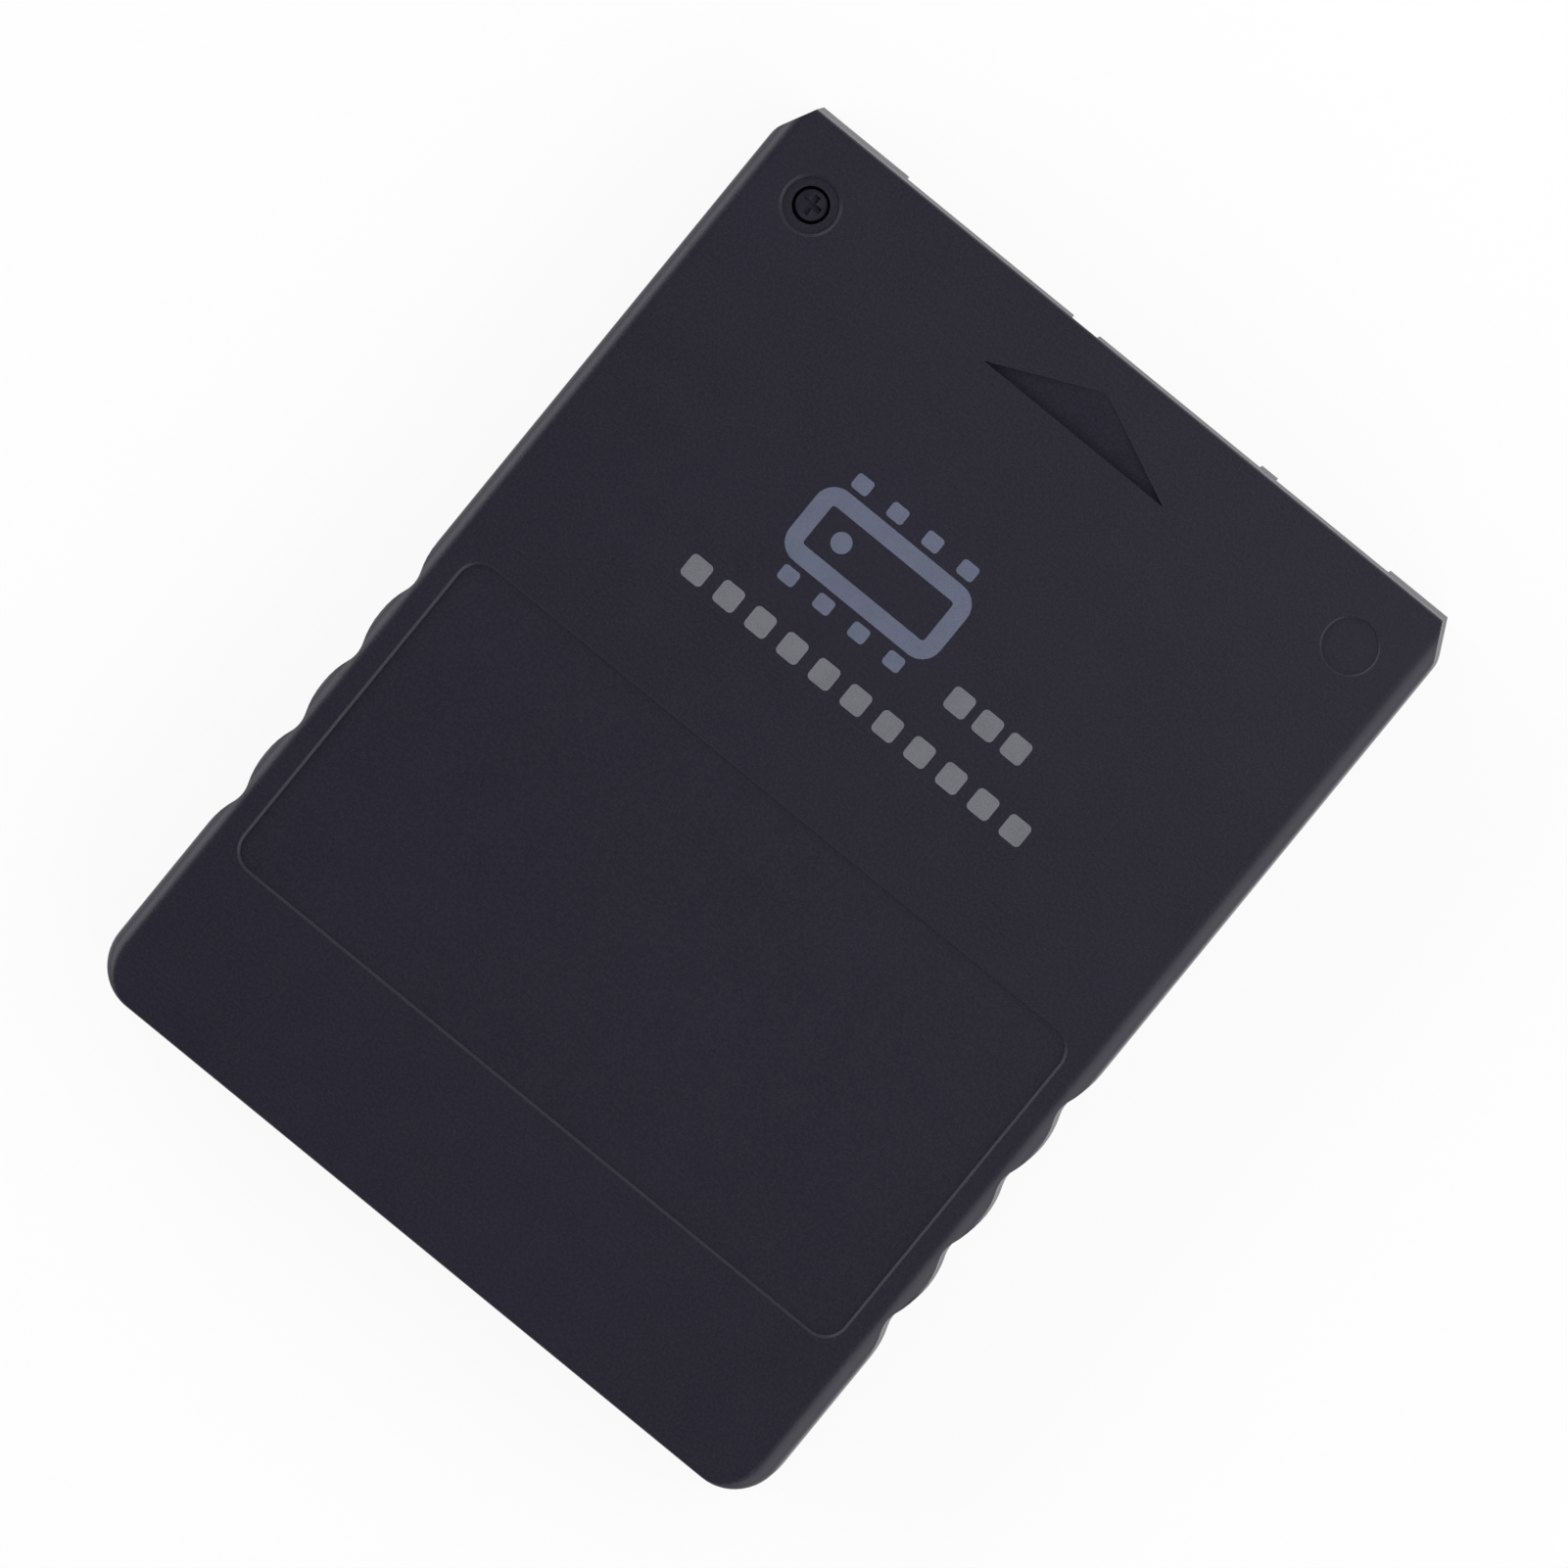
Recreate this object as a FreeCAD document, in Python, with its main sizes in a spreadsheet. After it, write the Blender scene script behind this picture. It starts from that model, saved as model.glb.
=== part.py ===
import FreeCAD, Part
import os
import re
import Sketcher

# Memory card for a game console, as a parametric assembly in millimetres
# Origin under the middle of the card, +Z up through the printed face,
# +Y towards the connector end and +X to the right.

SIZES = (
    # Outer form of the card
    ("card_width", 42.0, "overall width, along X"),
    ("card_length", 56.0, "overall length, along Y"),
    ("rear_corner_radius", 2.6, "rounding of the two rear corners in plan"),
    ("nose_cut_across", 1.05, "cut corner of the connector end, along X"),
    ("nose_cut_along", 2.05, "cut corner of the connector end, along Y"),
    ("top_edge_radius", 0.9, "rounding of the upper edge at the sides"),
    ("rear_edge_radius", 0.12, "rounding of the upper edge at the rear"),
    ("nose_corner_radius", 1.6, "rounding where a cut corner meets the side"),
    ("nose_bevel", 0.08, "bevel of the upper edge at the connector end"),
    ("base_edge_radius", 0.4, "rounding of the lower edge"),
    ("seam_bevel", 0.12, "bevel on each side of the parting line"),
    # Walls and the stack of heights
    ("side_wall", 1.6, "side and rear walls"),
    ("nose_wall", 1.0, "wall at the connector end"),
    ("roof_wall", 1.2, "wall under the printed face"),
    ("floor_wall", 1.2, "wall at the base"),
    ("under_board", 2.0, "space between the floor and the board"),
    ("over_board", 2.6, "space between the board and the roof"),
    ("seam_rise", 0.4, "parting line above the underside of the board"),
    ("inner_corner_radius", 1.0, "rounding of the cavity's rear corners"),
    ("fit_gap", 0.1, "clearance between moulded pieces that fit together"),
    # Grip waves on both sides
    ("grip_pitch", 4.5, "spacing of the grip valleys"),
    ("grip_depth", 0.42, "depth of a grip valley"),
    ("grip_valley_radius", 1.6, "rounding at the bottom of a grip valley"),
    ("grip_rear_gap", 9.55, "from the rear edge to the first grip wave"),
    ("grip_count", 4, "number of grip valleys on a side"),
    # Shapes in the printed face
    ("label_side_margin", 1.87, "from the label recess to the side of the card"),
    ("label_rear_margin", 9.08, "from the label recess to the rear of the card"),
    ("label_length", 19.17, "length of the label recess, along Y"),
    ("label_corner_radius", 1.2, "rounding of the label recess in plan"),
    ("label_depth", 0.2, "depth of the label recess"),
    ("label_bevel", 0.15, "bevel of the upper edge of the label recess"),
    ("arrow_width", 11.4, "base of the insertion arrow, along X"),
    ("arrow_length", 2.6, "length of the insertion arrow, along Y"),
    ("arrow_depth", 0.35, "depth of the insertion arrow at its base"),
    ("arrow_nose_gap", 4.4, "from the connector end to the base of the arrow"),
    ("mark_diameter", 2.82, "diameter of the sunk round mark"),
    ("mark_depth", 0.15, "depth of the sunk round mark"),
    ("mark_bevel", 0.1, "bevel of the upper edge of the round mark"),
    ("notch_width", 1.65, "width of the notch in the connector end"),
    ("notch_depth", 0.5, "depth of the notch in the connector end"),
    ("notch_roof", 0.5, "face that runs on over the notch"),
    # Screw and the posts that it joins
    ("post_side_inset", 3.8, "from the side of the card to the screw"),
    ("post_nose_inset", 3.87, "from the connector end to the screw"),
    ("dish_diameter", 2.85, "diameter of the dish around the screw"),
    ("dish_depth", 0.25, "depth of the dish around the screw"),
    ("dish_bevel", 0.15, "bevel of the upper edge of the dish"),
    ("post_wall", 0.7, "wall of the screw post around the counterbore"),
    ("screw_head_diameter", 1.8, "diameter of the screw head"),
    ("screw_head_height", 0.8, "height of the screw head"),
    ("screw_head_edge", 0.12, "bevel on the screw head"),
    ("screw_sink", 0.7, "screw head below the printed face"),
    ("screw_shank_diameter", 1.4, "diameter of the screw's shank"),
    ("screw_length", 5.0, "shank below the head"),
    ("screw_tip_length", 0.6, "taper at the screw's tip"),
    ("screw_tip_diameter", 0.7, "diameter at the end of the taper"),
    ("recess_length", 1.1, "arm to arm across the cross recess"),
    ("recess_width", 0.3, "width of an arm of the cross recess"),
    ("recess_depth", 0.45, "depth of the cross recess"),
    ("head_gap", 0.06, "clearance around the screw head"),
    ("shank_gap", 0.15, "clearance around the shank in the upper post"),
    # How the two shells fit together
    ("tongue_thickness", 0.6, "thickness of the tongue on the lower rim"),
    ("tongue_height", 0.8, "height of the tongue on the lower rim"),
    ("tongue_nose_gap", 8.5, "from the connector end to the end of the tongue"),
    ("hook_spacing", 20.0, "between the middles of the two rear hooks"),
    ("hook_width", 5.0, "width of a rear hook"),
    ("hook_thickness", 1.0, "thickness of a rear hook"),
    ("hook_headroom", 0.5, "from the top of a hook to the roof"),
    ("barb_height", 0.9, "height of the barb on a hook"),
    ("barb_reach", 0.45, "reach of the barb into the rear wall"),
    ("peg_side_inset", 4.5, "from the side of the card to the locating peg"),
    ("peg_nose_inset", 12.5, "from the connector end to the locating peg"),
    ("peg_diameter", 1.4, "diameter of the locating peg"),
    ("peg_shoulder", 0.8, "shoulder around the peg that carries the board"),
    ("peg_reach", 1.4, "peg above the board"),
    ("socket_wall", 0.6, "wall of the socket that takes the peg"),
    ("support_side_inset", 6.5, "from the side of the card to a rear board support"),
    ("support_rear_inset", 7.5, "from the rear of the card to a rear board support"),
    ("support_diameter", 2.0, "diameter of a rear board support"),
    ("pin_diameter", 1.6, "diameter of a pin that holds the board down"),
    # Board and its contacts
    ("board_thickness", 1.0, "thickness of the circuit board"),
    ("board_gap", 0.2, "clearance around the board"),
    ("contact_count", 8, "number of contacts"),
    ("contact_group", 3, "contacts in each of the first two groups"),
    ("contact_left_margin", 6.5, "from the left side to the field of contacts"),
    ("contact_right_margin", 4.7, "from the right side to the field of contacts"),
    ("contact_gap", 1.5, "between neighbouring contacts"),
    ("contact_end_gap", 0.25, "from a contact to the window's back and the board's edge"),
    ("contact_thickness", 0.05, "thickness of the plated contacts"),
    ("window_depth", 6.5, "depth of the contact windows from the connector end"),
    ("rib_width", 1.0, "width of the ribs beside and between the windows"),
    ("back_wall", 1.0, "wall behind the windows"),
    # Chips on the board
    ("chip_standoff", 0.1, "chip bodies above the board"),
    ("lead_thickness", 0.13, "thickness of a chip's leads"),
    ("dimple_diameter", 0.8, "mark for the first lead of the large chips"),
    ("dimple_inset", 1.2, "from the mark to the edges of the chip"),
    ("dimple_depth", 0.1, "depth of the mark"),
    ("flash_width", 18.4, "memory chip body, across its leads"),
    ("flash_length", 12.0, "memory chip body, along its leads"),
    ("flash_height", 1.0, "memory chip body"),
    ("flash_overhang", 0.8, "leads beyond the memory chip's body"),
    ("flash_pitch", 0.5, "spacing of the memory chip's leads"),
    ("flash_lead_width", 0.22, "width of one of its leads"),
    ("flash_lead_count", 24, "leads on one of its sides"),
    ("flash_rear_inset", 15.0, "from the rear of the card to the middle of the memory chip"),
    ("controller_width", 10.0, "controller body, along X"),
    ("controller_length", 10.0, "controller body, along Y"),
    ("controller_height", 1.4, "controller body"),
    ("controller_overhang", 1.0, "leads beyond the controller's body"),
    ("controller_pitch", 0.5, "spacing of the controller's leads"),
    ("controller_lead_width", 0.22, "width of one of its leads"),
    ("controller_lead_count", 16, "leads on one of its sides"),
    ("controller_side_inset", 16.0, "from the left side to the middle of the controller"),
    ("controller_gap", 1.0, "from the small capacitors to the controller's leads"),
    ("regulator_width", 1.6, "regulator body, across its leads"),
    ("regulator_length", 2.9, "regulator body, along its leads"),
    ("regulator_height", 1.1, "regulator body"),
    ("regulator_overhang", 0.6, "leads beyond the regulator's body"),
    ("regulator_pitch", 0.95, "spacing of the regulator's leads"),
    ("regulator_lead_width", 0.4, "width of one of its leads"),
    ("regulator_lead_count", 3, "leads on one of its sides"),
    ("regulator_side_inset", 12.5, "from the right side to the middle of the regulator"),
    ("regulator_nose_inset", 24.5, "from the connector end to the middle of the regulator"),
    # Other parts on the board
    ("crystal_width", 3.2, "clock crystal, along X"),
    ("crystal_length", 2.5, "clock crystal, along Y"),
    ("crystal_base_height", 0.45, "ceramic base of the crystal"),
    ("crystal_lid_height", 0.3, "metal lid of the crystal"),
    ("crystal_lid_inset", 0.2, "lid inside the edge of the base"),
    ("crystal_side_inset", 13.0, "from the right side to the middle of the crystal"),
    ("crystal_nose_inset", 18.5, "from the connector end to the middle of the crystal"),
    ("bulk_width", 3.2, "bulk capacitor over its leads"),
    ("bulk_length", 1.6, "bulk capacitor body, along Y"),
    ("bulk_height", 1.5, "bulk capacitor body"),
    ("bulk_lead_width", 1.2, "width of its leads, along Y"),
    ("bulk_lead_thickness", 0.1, "thickness of its leads"),
    ("bulk_foot", 0.8, "foot of a lead under the body"),
    ("bulk_lead_rise", 0.9, "height of a lead at the end of the body"),
    ("bulk_side_inset", 7.0, "from the right side to the middle of the bulk capacitor"),
    ("bulk_nose_inset", 24.5, "from the connector end to the middle of the bulk capacitor"),
    ("capacitor_length", 1.6, "small capacitor over its ends"),
    ("capacitor_width", 0.8, "small capacitor"),
    ("capacitor_height", 0.8, "small capacitor"),
    ("capacitor_cap", 0.3, "plated end of a small capacitor"),
    ("capacitor_spacing", 3.2, "between small capacitors"),
    ("capacitor_count", 6, "number of small capacitors"),
    ("capacitor_side_inset", 9.0, "from the left side to the first small capacitor"),
    ("capacitor_gap", 2.2, "from the small resistors to the small capacitors"),
    ("resistor_length", 1.6, "small resistor over its ends"),
    ("resistor_width", 0.8, "small resistor"),
    ("resistor_height", 0.45, "small resistor"),
    ("resistor_cap", 0.3, "plated end of a small resistor"),
    ("resistor_nose_inset", 9.8, "from the connector end to the small resistors"),
)

# Places worked out from the sizes
RIGHT = "card_width / 2"
NOSE = "card_length / 2"
INNER_RIGHT = "(card_width / 2 - side_wall)"
INNER_REAR = "(side_wall - card_length / 2)"
INNER_NOSE = "(card_length / 2 - nose_wall)"
BOARD_LOW = "(floor_wall + under_board)"
BOARD_TOP = "(floor_wall + under_board + board_thickness)"
SEAM = "(floor_wall + under_board + seam_rise)"
TONGUE_TOP = f"({SEAM} + tongue_height)"
CEILING = f"({BOARD_TOP} + over_board)"
TOP = f"({CEILING} + roof_wall)"
POST_X = "(post_side_inset - card_width / 2)"
POST_Y = "(card_length / 2 - post_nose_inset)"
POST_DIAMETER = "(screw_head_diameter + 2 * head_gap + 2 * post_wall)"
SCREW_SEAT = f"({TOP} - screw_sink - screw_head_height)"
PEG_X = "(card_width / 2 - peg_side_inset)"
PEG_Y = "(card_length / 2 - peg_nose_inset)"
SUPPORT_X = "(card_width / 2 - support_side_inset)"
SUPPORT_Y = "(support_rear_inset - card_length / 2)"
HOOK_TOP = f"({CEILING} - hook_headroom)"
BARB_LOW = f"({HOOK_TOP} - barb_height)"
HOOK_SIDE = "((hook_spacing - hook_width) / 2)"
TONGUE_RIGHT = f"({INNER_RIGHT} + tongue_thickness)"
TONGUE_REAR = f"({INNER_REAR} - tongue_thickness)"
TONGUE_END = "(card_length / 2 - tongue_nose_gap)"
WINDOW_BACK = "(card_length / 2 - window_depth)"
CONTACT_LEFT = "(contact_left_margin - card_width / 2)"
CONTACT_RIGHT = "(card_width / 2 - contact_right_margin)"
CONTACT_PITCH = "((card_width - contact_left_margin - contact_right_margin) / contact_count)"
FIRST_CONTACT = f"({CONTACT_LEFT} + {CONTACT_PITCH} / 2)"
FIRST_RIB = f"({CONTACT_LEFT} + {CONTACT_PITCH} * contact_group)"
SECOND_RIB = f"({CONTACT_LEFT} + {CONTACT_PITCH} * contact_group * 2)"
BOARD_RIGHT = f"({INNER_RIGHT} - board_gap)"
BOARD_REAR = f"({INNER_REAR} + hook_thickness + board_gap)"
BOARD_NOSE = f"({INNER_NOSE} - board_gap)"
LABEL_RIGHT = "(card_width / 2 - label_side_margin)"
LABEL_REAR = "(label_rear_margin - card_length / 2)"
ARROW_BASE = "(card_length / 2 - arrow_nose_gap)"

FLASH_PLACE = ("0", f"flash_rear_inset - {NOSE}", BOARD_TOP)
RESISTOR_Y = f"({NOSE} - resistor_nose_inset)"
CAPACITOR_Y = f"({RESISTOR_Y} - resistor_width / 2 - capacitor_gap - capacitor_width / 2)"
CONTROLLER_NOSE = f"({CAPACITOR_Y} - capacitor_width / 2 - controller_gap - controller_overhang)"
CONTROLLER_Y = f"({CONTROLLER_NOSE} - controller_length / 2)"
CONTROLLER_PLACE = (f"controller_side_inset - {RIGHT}", CONTROLLER_Y, BOARD_TOP)
REGULATOR_PLACE = (f"{RIGHT} - regulator_side_inset", f"{NOSE} - regulator_nose_inset", BOARD_TOP)
BULK_PLACE = (f"{RIGHT} - bulk_side_inset", f"{NOSE} - bulk_nose_inset", BOARD_TOP)
CRYSTAL_X = f"({RIGHT} - crystal_side_inset)"
CRYSTAL_Y = f"({NOSE} - crystal_nose_inset)"

TOLERANCE = 1e-4
WORD = re.compile(r"[a-z][a-z_]*")
NAMES = {alias for alias, size, meaning in SIZES}

document = FreeCAD.newDocument("memory_card")
sheet = document.addObject("Spreadsheet::Sheet", "sizes")
for row, (alias, size, meaning) in enumerate(SIZES, start=1):
    sheet.set(f"A{row}", meaning)
    sheet.set(f"B{row}", str(size))
    sheet.setAlias(f"B{row}", alias)
document.recompute()


# Formulas

def bound(formula):
    """Name each size in a formula through the sheet, for an expression."""

    def through_sheet(match):
        word = match.group()
        return f"sizes.{word}" if word in NAMES else word

    return WORD.sub(through_sheet, formula)


def value(formula):
    """Work a formula out in millimetres."""
    return float(sheet.evalExpression(formula))


# Sketches

def new_body(label, x="0", y="0", z="0"):
    """Start a sub-part, placed by three formulas."""
    body = document.addObject("PartDesign::Body", label)
    body.Label = label
    for axis, formula in zip("xyz", (x, y, z)):
        body.setExpression(f"Placement.Base.{axis}", bound(formula))
    return body


def origin(body, role):
    """Find one of the body's own planes or axes."""
    return next(feature for feature in body.Origin.OriginFeatures if feature.Role == role)


def new_sketch(body, name, offset="0", plane="XY_Plane"):
    """Attach a sketch to one of the body's planes, moved along the plane's normal."""
    sketch = body.newObject("Sketcher::SketchObject", f"{body.Name}_{name}")
    sketch.AttachmentSupport = [(origin(body, plane), "")]
    sketch.MapMode = "FlatFace"
    sketch.setExpression("AttachmentOffset.Base.z", bound(offset))
    return sketch


def constrain(sketch, kind, *arguments, formula=None):
    """Add a constraint and bind its size to a formula."""
    if formula is None:
        sketch.addConstraint(Sketcher.Constraint(kind, *arguments))
        return
    index = sketch.addConstraint(Sketcher.Constraint(kind, *arguments, value(formula)))
    sketch.setExpression(f"Constraints[{index}]", bound(formula))


def place_point(sketch, geometry, point, x, y):
    """Hold a point of the sketch at two formulas from its origin."""
    constrain(sketch, "DistanceX", -1, 1, geometry, point, formula=x)
    constrain(sketch, "DistanceY", -1, 1, geometry, point, formula=y)


def vector(x, y):
    """Make a sketch point from two formulas."""
    return FreeCAD.Vector(value(x), value(y), 0)


def add_polygon(sketch, *corners):
    """Draw a closed outline through corners given as pairs of formulas."""
    points = [vector(x, y) for x, y in corners]
    first = sketch.GeometryCount
    for start, end in zip(points, points[1:] + points[:1]):
        sketch.addGeometry(Part.LineSegment(start, end))
    for step, (x, y) in enumerate(corners):
        following = first + (step + 1) % len(corners)
        constrain(sketch, "Coincident", first + step, 2, following, 1)
        place_point(sketch, first + step, 1, x, y)


def add_rectangle(sketch, left, right, low, high):
    """Draw a rectangle between four formulas."""
    add_polygon(sketch, (left, low), (right, low), (right, high), (left, high))


def add_block(sketch, width, length, x="0", y="0"):
    """Draw a rectangle of a given size about a middle."""
    across = (f"{x} - {width} / 2", f"{x} + {width} / 2")
    along = (f"{y} - {length} / 2", f"{y} + {length} / 2")
    add_rectangle(sketch, *across, *along)


def add_circle(sketch, diameter, x="0", y="0"):
    """Draw a circle about a middle."""
    upright = FreeCAD.Vector(0, 0, 1)
    circle = sketch.addGeometry(Part.Circle(vector(x, y), upright, value(diameter) / 2))
    place_point(sketch, circle, 3, x, y)
    constrain(sketch, "Diameter", circle, formula=diameter)


# Features

def body_volume(body):
    """Recompute and measure what the body holds so far."""
    document.recompute()
    return 0.0 if body.Shape.isNull() else body.Shape.Volume


def pad(body, sketch, length, backward=False):
    """Extrude a sketch along its normal, or against it."""
    before = body_volume(body)
    feature = body.newObject("PartDesign::Pad", f"{sketch.Name}_pad")
    feature.Profile = sketch
    feature.Reversed = backward
    feature.setExpression("Length", bound(length))
    if body_volume(body) <= before:
        raise RuntimeError(f"{feature.Name} adds nothing")
    return feature


def pocket(body, sketch, depth=None, along_normal=False):
    """Cut a sketch into the body, right through where no depth is given."""
    before = body_volume(body)
    feature = body.newObject("PartDesign::Pocket", f"{sketch.Name}_pocket")
    feature.Profile = sketch
    feature.Reversed = along_normal
    if depth is None:
        feature.Type = "ThroughAll"
    else:
        feature.setExpression("Length", bound(depth))
    if body_volume(body) >= before:
        raise RuntimeError(f"{feature.Name} cuts nothing")
    return feature


def row_pattern(body, feature, axis, spacing, count):
    """Repeat a feature along one of the body's axes."""
    pattern = body.newObject("PartDesign::LinearPattern", f"{feature.Name}_row")
    pattern.Originals = [feature]
    pattern.Direction = (origin(body, axis), [""])
    pattern.setExpression("Length", bound(f"{spacing} * ({count} - 1)"))
    pattern.setExpression("Occurrences", bound(count))
    body.Tip = pattern


def mirror_across(body, feature):
    """Repeat a feature on the other side of the card."""
    mirrored = body.newObject("PartDesign::Mirrored", f"{feature.Name}_mirrored")
    mirrored.Originals = [feature]
    mirrored.MirrorPlane = (origin(body, "YZ_Plane"), [""])
    body.Tip = mirrored


def dress_edges(body, kind, size_name, formula, name, wanted):
    """Round or bevel the edges that a test picks."""
    document.recompute()
    base = body.Tip
    edges = enumerate(base.Shape.Edges, start=1)
    names = [f"Edge{number}" for number, edge in edges if wanted(edge.BoundBox)]
    feature = body.newObject(f"PartDesign::{kind}", f"{body.Name}_{name}")
    feature.Base = (base, names)
    feature.setExpression(size_name, bound(formula))
    document.recompute()


def fillet(body, name, radius, wanted):
    """Round the edges whose bounding boxes pass a test."""
    dress_edges(body, "Fillet", "Radius", radius, name, wanted)


def chamfer(body, name, size, wanted):
    """Bevel the edges whose bounding boxes pass a test."""
    dress_edges(body, "Chamfer", "Size", size, name, wanted)


def upright_at(*spots):
    """Make a test for upright edges that stand at given places."""
    places = [(value(x), value(y)) for x, y in spots]

    def wanted(box):
        thin = box.XLength < TOLERANCE and box.YLength < TOLERANCE
        near = any(abs(box.XMin - x) < TOLERANCE and abs(box.YMin - y) < TOLERANCE for x, y in places)
        return thin and near

    return wanted


def level_at(height):
    """Make a test for edges that lie at a height."""
    level = value(height)
    return lambda box: abs(box.ZMin - level) < TOLERANCE and abs(box.ZMax - level) < TOLERANCE


# Shells

def end_at(sketch, geometry, target):
    """Tell which end of an arc lies at a point: 1 for its start, 2 for its end."""
    start = sketch.getPoint(geometry, 1)
    return 1 if start.distanceToPoint(target) < TOLERANCE else 2


def add_corner_cut(sketch, side):
    """Draw the cut of one corner of the connector end: an arc that leads from the side to a slanted line."""
    lean = "atan(nose_cut_across / nose_cut_along)"
    ease = f"nose_corner_radius * tan({lean} / 2)"
    edge = "card_width / 2"
    start_y = f"{NOSE} - nose_cut_along - {ease}"
    middle_x = f"{side} * ({edge} - nose_corner_radius * (1 - cos({lean} / 2)))"
    middle_y = f"{start_y} + nose_corner_radius * sin({lean} / 2)"
    meet_x = f"{side} * ({edge} - {ease} * sin({lean}))"
    meet_y = f"{NOSE} - nose_cut_along + {ease} * cos({lean})"
    past_x = f"{side} * ({edge} - 2 * nose_cut_across)"
    past_y = f"{NOSE} + nose_cut_along"
    outside = f"{side} * ({edge} + nose_cut_across)"

    start = (f"{side} * {edge}", start_y)
    meet = (meet_x, meet_y)
    corners = [meet, (past_x, past_y), (outside, past_y), (outside, start_y), start]
    points = [vector(x, y) for x, y in corners]
    arc = sketch.addGeometry(Part.Arc(points[-1], vector(middle_x, middle_y), points[0]))
    lines = [sketch.addGeometry(Part.LineSegment(*ends)) for ends in zip(points, points[1:])]
    for line, following in zip(lines, lines[1:]):
        constrain(sketch, "Coincident", line, 2, following, 1)
    constrain(sketch, "Coincident", arc, end_at(sketch, arc, points[0]), lines[0], 1)
    constrain(sketch, "Coincident", arc, end_at(sketch, arc, points[-1]), lines[-1], 2)
    for line, (x, y) in zip(lines, corners):
        place_point(sketch, line, 1, x, y)
    place_point(sketch, lines[-1], 2, *start)
    constrain(sketch, "Radius", arc, formula="nose_corner_radius")


def add_valley(sketch, side):
    """Draw the cut of one grip valley: two crest arcs that run into a valley arc.

    A crest arc leaves the side of the card at its tangent. Its radius follows from the pitch,
    the depth and the valley's radius, because the two arcs touch.
    """
    middle = "(grip_rear_gap + grip_pitch / 2 - card_length / 2)"
    edge = f"{side} * card_width / 2"
    outside = f"{side} * (card_width / 2 + grip_depth)"
    valley_x = f"{side} * (card_width / 2 - grip_depth + grip_valley_radius)"
    touching = "((grip_pitch * grip_pitch / 4 + grip_depth * grip_depth) / (2 * grip_depth))"
    crest_radius = f"({touching} - grip_valley_radius)"
    crest_x = f"{side} * (card_width / 2 - {crest_radius})"
    share = f"{crest_radius} / {touching}"
    meet_x = f"{crest_x} + ({valley_x} - {crest_x}) * {share}"
    meet_rise = f"grip_pitch / 2 * (1 - {share})"
    valley_low = f"{side} * (card_width / 2 - grip_depth)"

    upper = vector(edge, f"{middle} + grip_pitch / 2")
    lower = vector(edge, f"{middle} - grip_pitch / 2")
    meet_upper = vector(meet_x, f"{middle} + {meet_rise}")
    meet_lower = vector(meet_x, f"{middle} - {meet_rise}")
    crest_reach = value(crest_radius)

    def crest_middle(start, end, centre_y):
        centre = vector(crest_x, centre_y)
        chord = (start + end) * 0.5 - centre
        return centre + chord * (crest_reach / chord.Length)

    upper_middle = crest_middle(upper, meet_upper, f"{middle} + grip_pitch / 2")
    lower_middle = crest_middle(lower, meet_lower, f"{middle} - grip_pitch / 2")
    corner_upper = vector(outside, f"{middle} + grip_pitch / 2")
    corner_lower = vector(outside, f"{middle} - grip_pitch / 2")

    first = sketch.GeometryCount
    sketch.addGeometry(Part.Arc(upper, upper_middle, meet_upper))
    sketch.addGeometry(Part.Arc(meet_upper, vector(valley_low, middle), meet_lower))
    sketch.addGeometry(Part.Arc(meet_lower, lower_middle, lower))
    sketch.addGeometry(Part.LineSegment(lower, corner_lower))
    sketch.addGeometry(Part.LineSegment(corner_lower, corner_upper))
    sketch.addGeometry(Part.LineSegment(corner_upper, upper))
    crest, valley, second_crest, line_low, line_out, line_up = range(first, first + 6)

    def join(kind, arc, other, other_end, point):
        constrain(sketch, kind, arc, end_at(sketch, arc, point), other, other_end)

    join("Tangent", crest, valley, end_at(sketch, valley, meet_upper), meet_upper)
    join("Tangent", second_crest, valley, end_at(sketch, valley, meet_lower), meet_lower)
    join("Coincident", crest, line_up, 2, upper)
    join("Coincident", second_crest, line_low, 1, lower)
    constrain(sketch, "Coincident", line_low, 2, line_out, 1)
    constrain(sketch, "Coincident", line_out, 2, line_up, 1)
    place_point(sketch, line_up, 2, edge, f"{middle} + grip_pitch / 2")
    place_point(sketch, line_low, 1, edge, f"{middle} - grip_pitch / 2")
    place_point(sketch, line_out, 1, outside, f"{middle} - grip_pitch / 2")
    place_point(sketch, line_out, 2, outside, f"{middle} + grip_pitch / 2")
    place_point(sketch, valley, 3, valley_x, middle)
    constrain(sketch, "Radius", valley, formula="grip_valley_radius")
    constrain(sketch, "DistanceY", -1, 1, crest, 3, formula=f"{middle} + grip_pitch / 2")
    constrain(sketch, "DistanceY", -1, 1, second_crest, 3, formula=f"{middle} - grip_pitch / 2")


def shell_block(body, low, high):
    """Pad the card's plain outline between two heights and round its rear corners in plan."""
    outline = new_sketch(body, "outline", low)
    add_rectangle(outline, f"-{RIGHT}", RIGHT, f"-{NOSE}", NOSE)
    pad(body, outline, f"{high} - {low}")
    rear_corners = upright_at((RIGHT, f"-{NOSE}"), (f"-{RIGHT}", f"-{NOSE}"))
    fillet(body, "rear_corners", "rear_corner_radius", rear_corners)


def cut_sides(body, low):
    """Cut the corners of the connector end and the grip waves, upwards from a height."""
    corners = new_sketch(body, "corners", low)
    add_corner_cut(corners, "1")
    add_corner_cut(corners, "-1")
    pocket(body, corners, None, along_normal=True)
    grip = new_sketch(body, "grip", low)
    add_valley(grip, "1")
    add_valley(grip, "-1")
    valleys = pocket(body, grip, None, along_normal=True)
    row_pattern(body, valleys, "Y_Axis", "grip_pitch", "grip_count")


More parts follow.
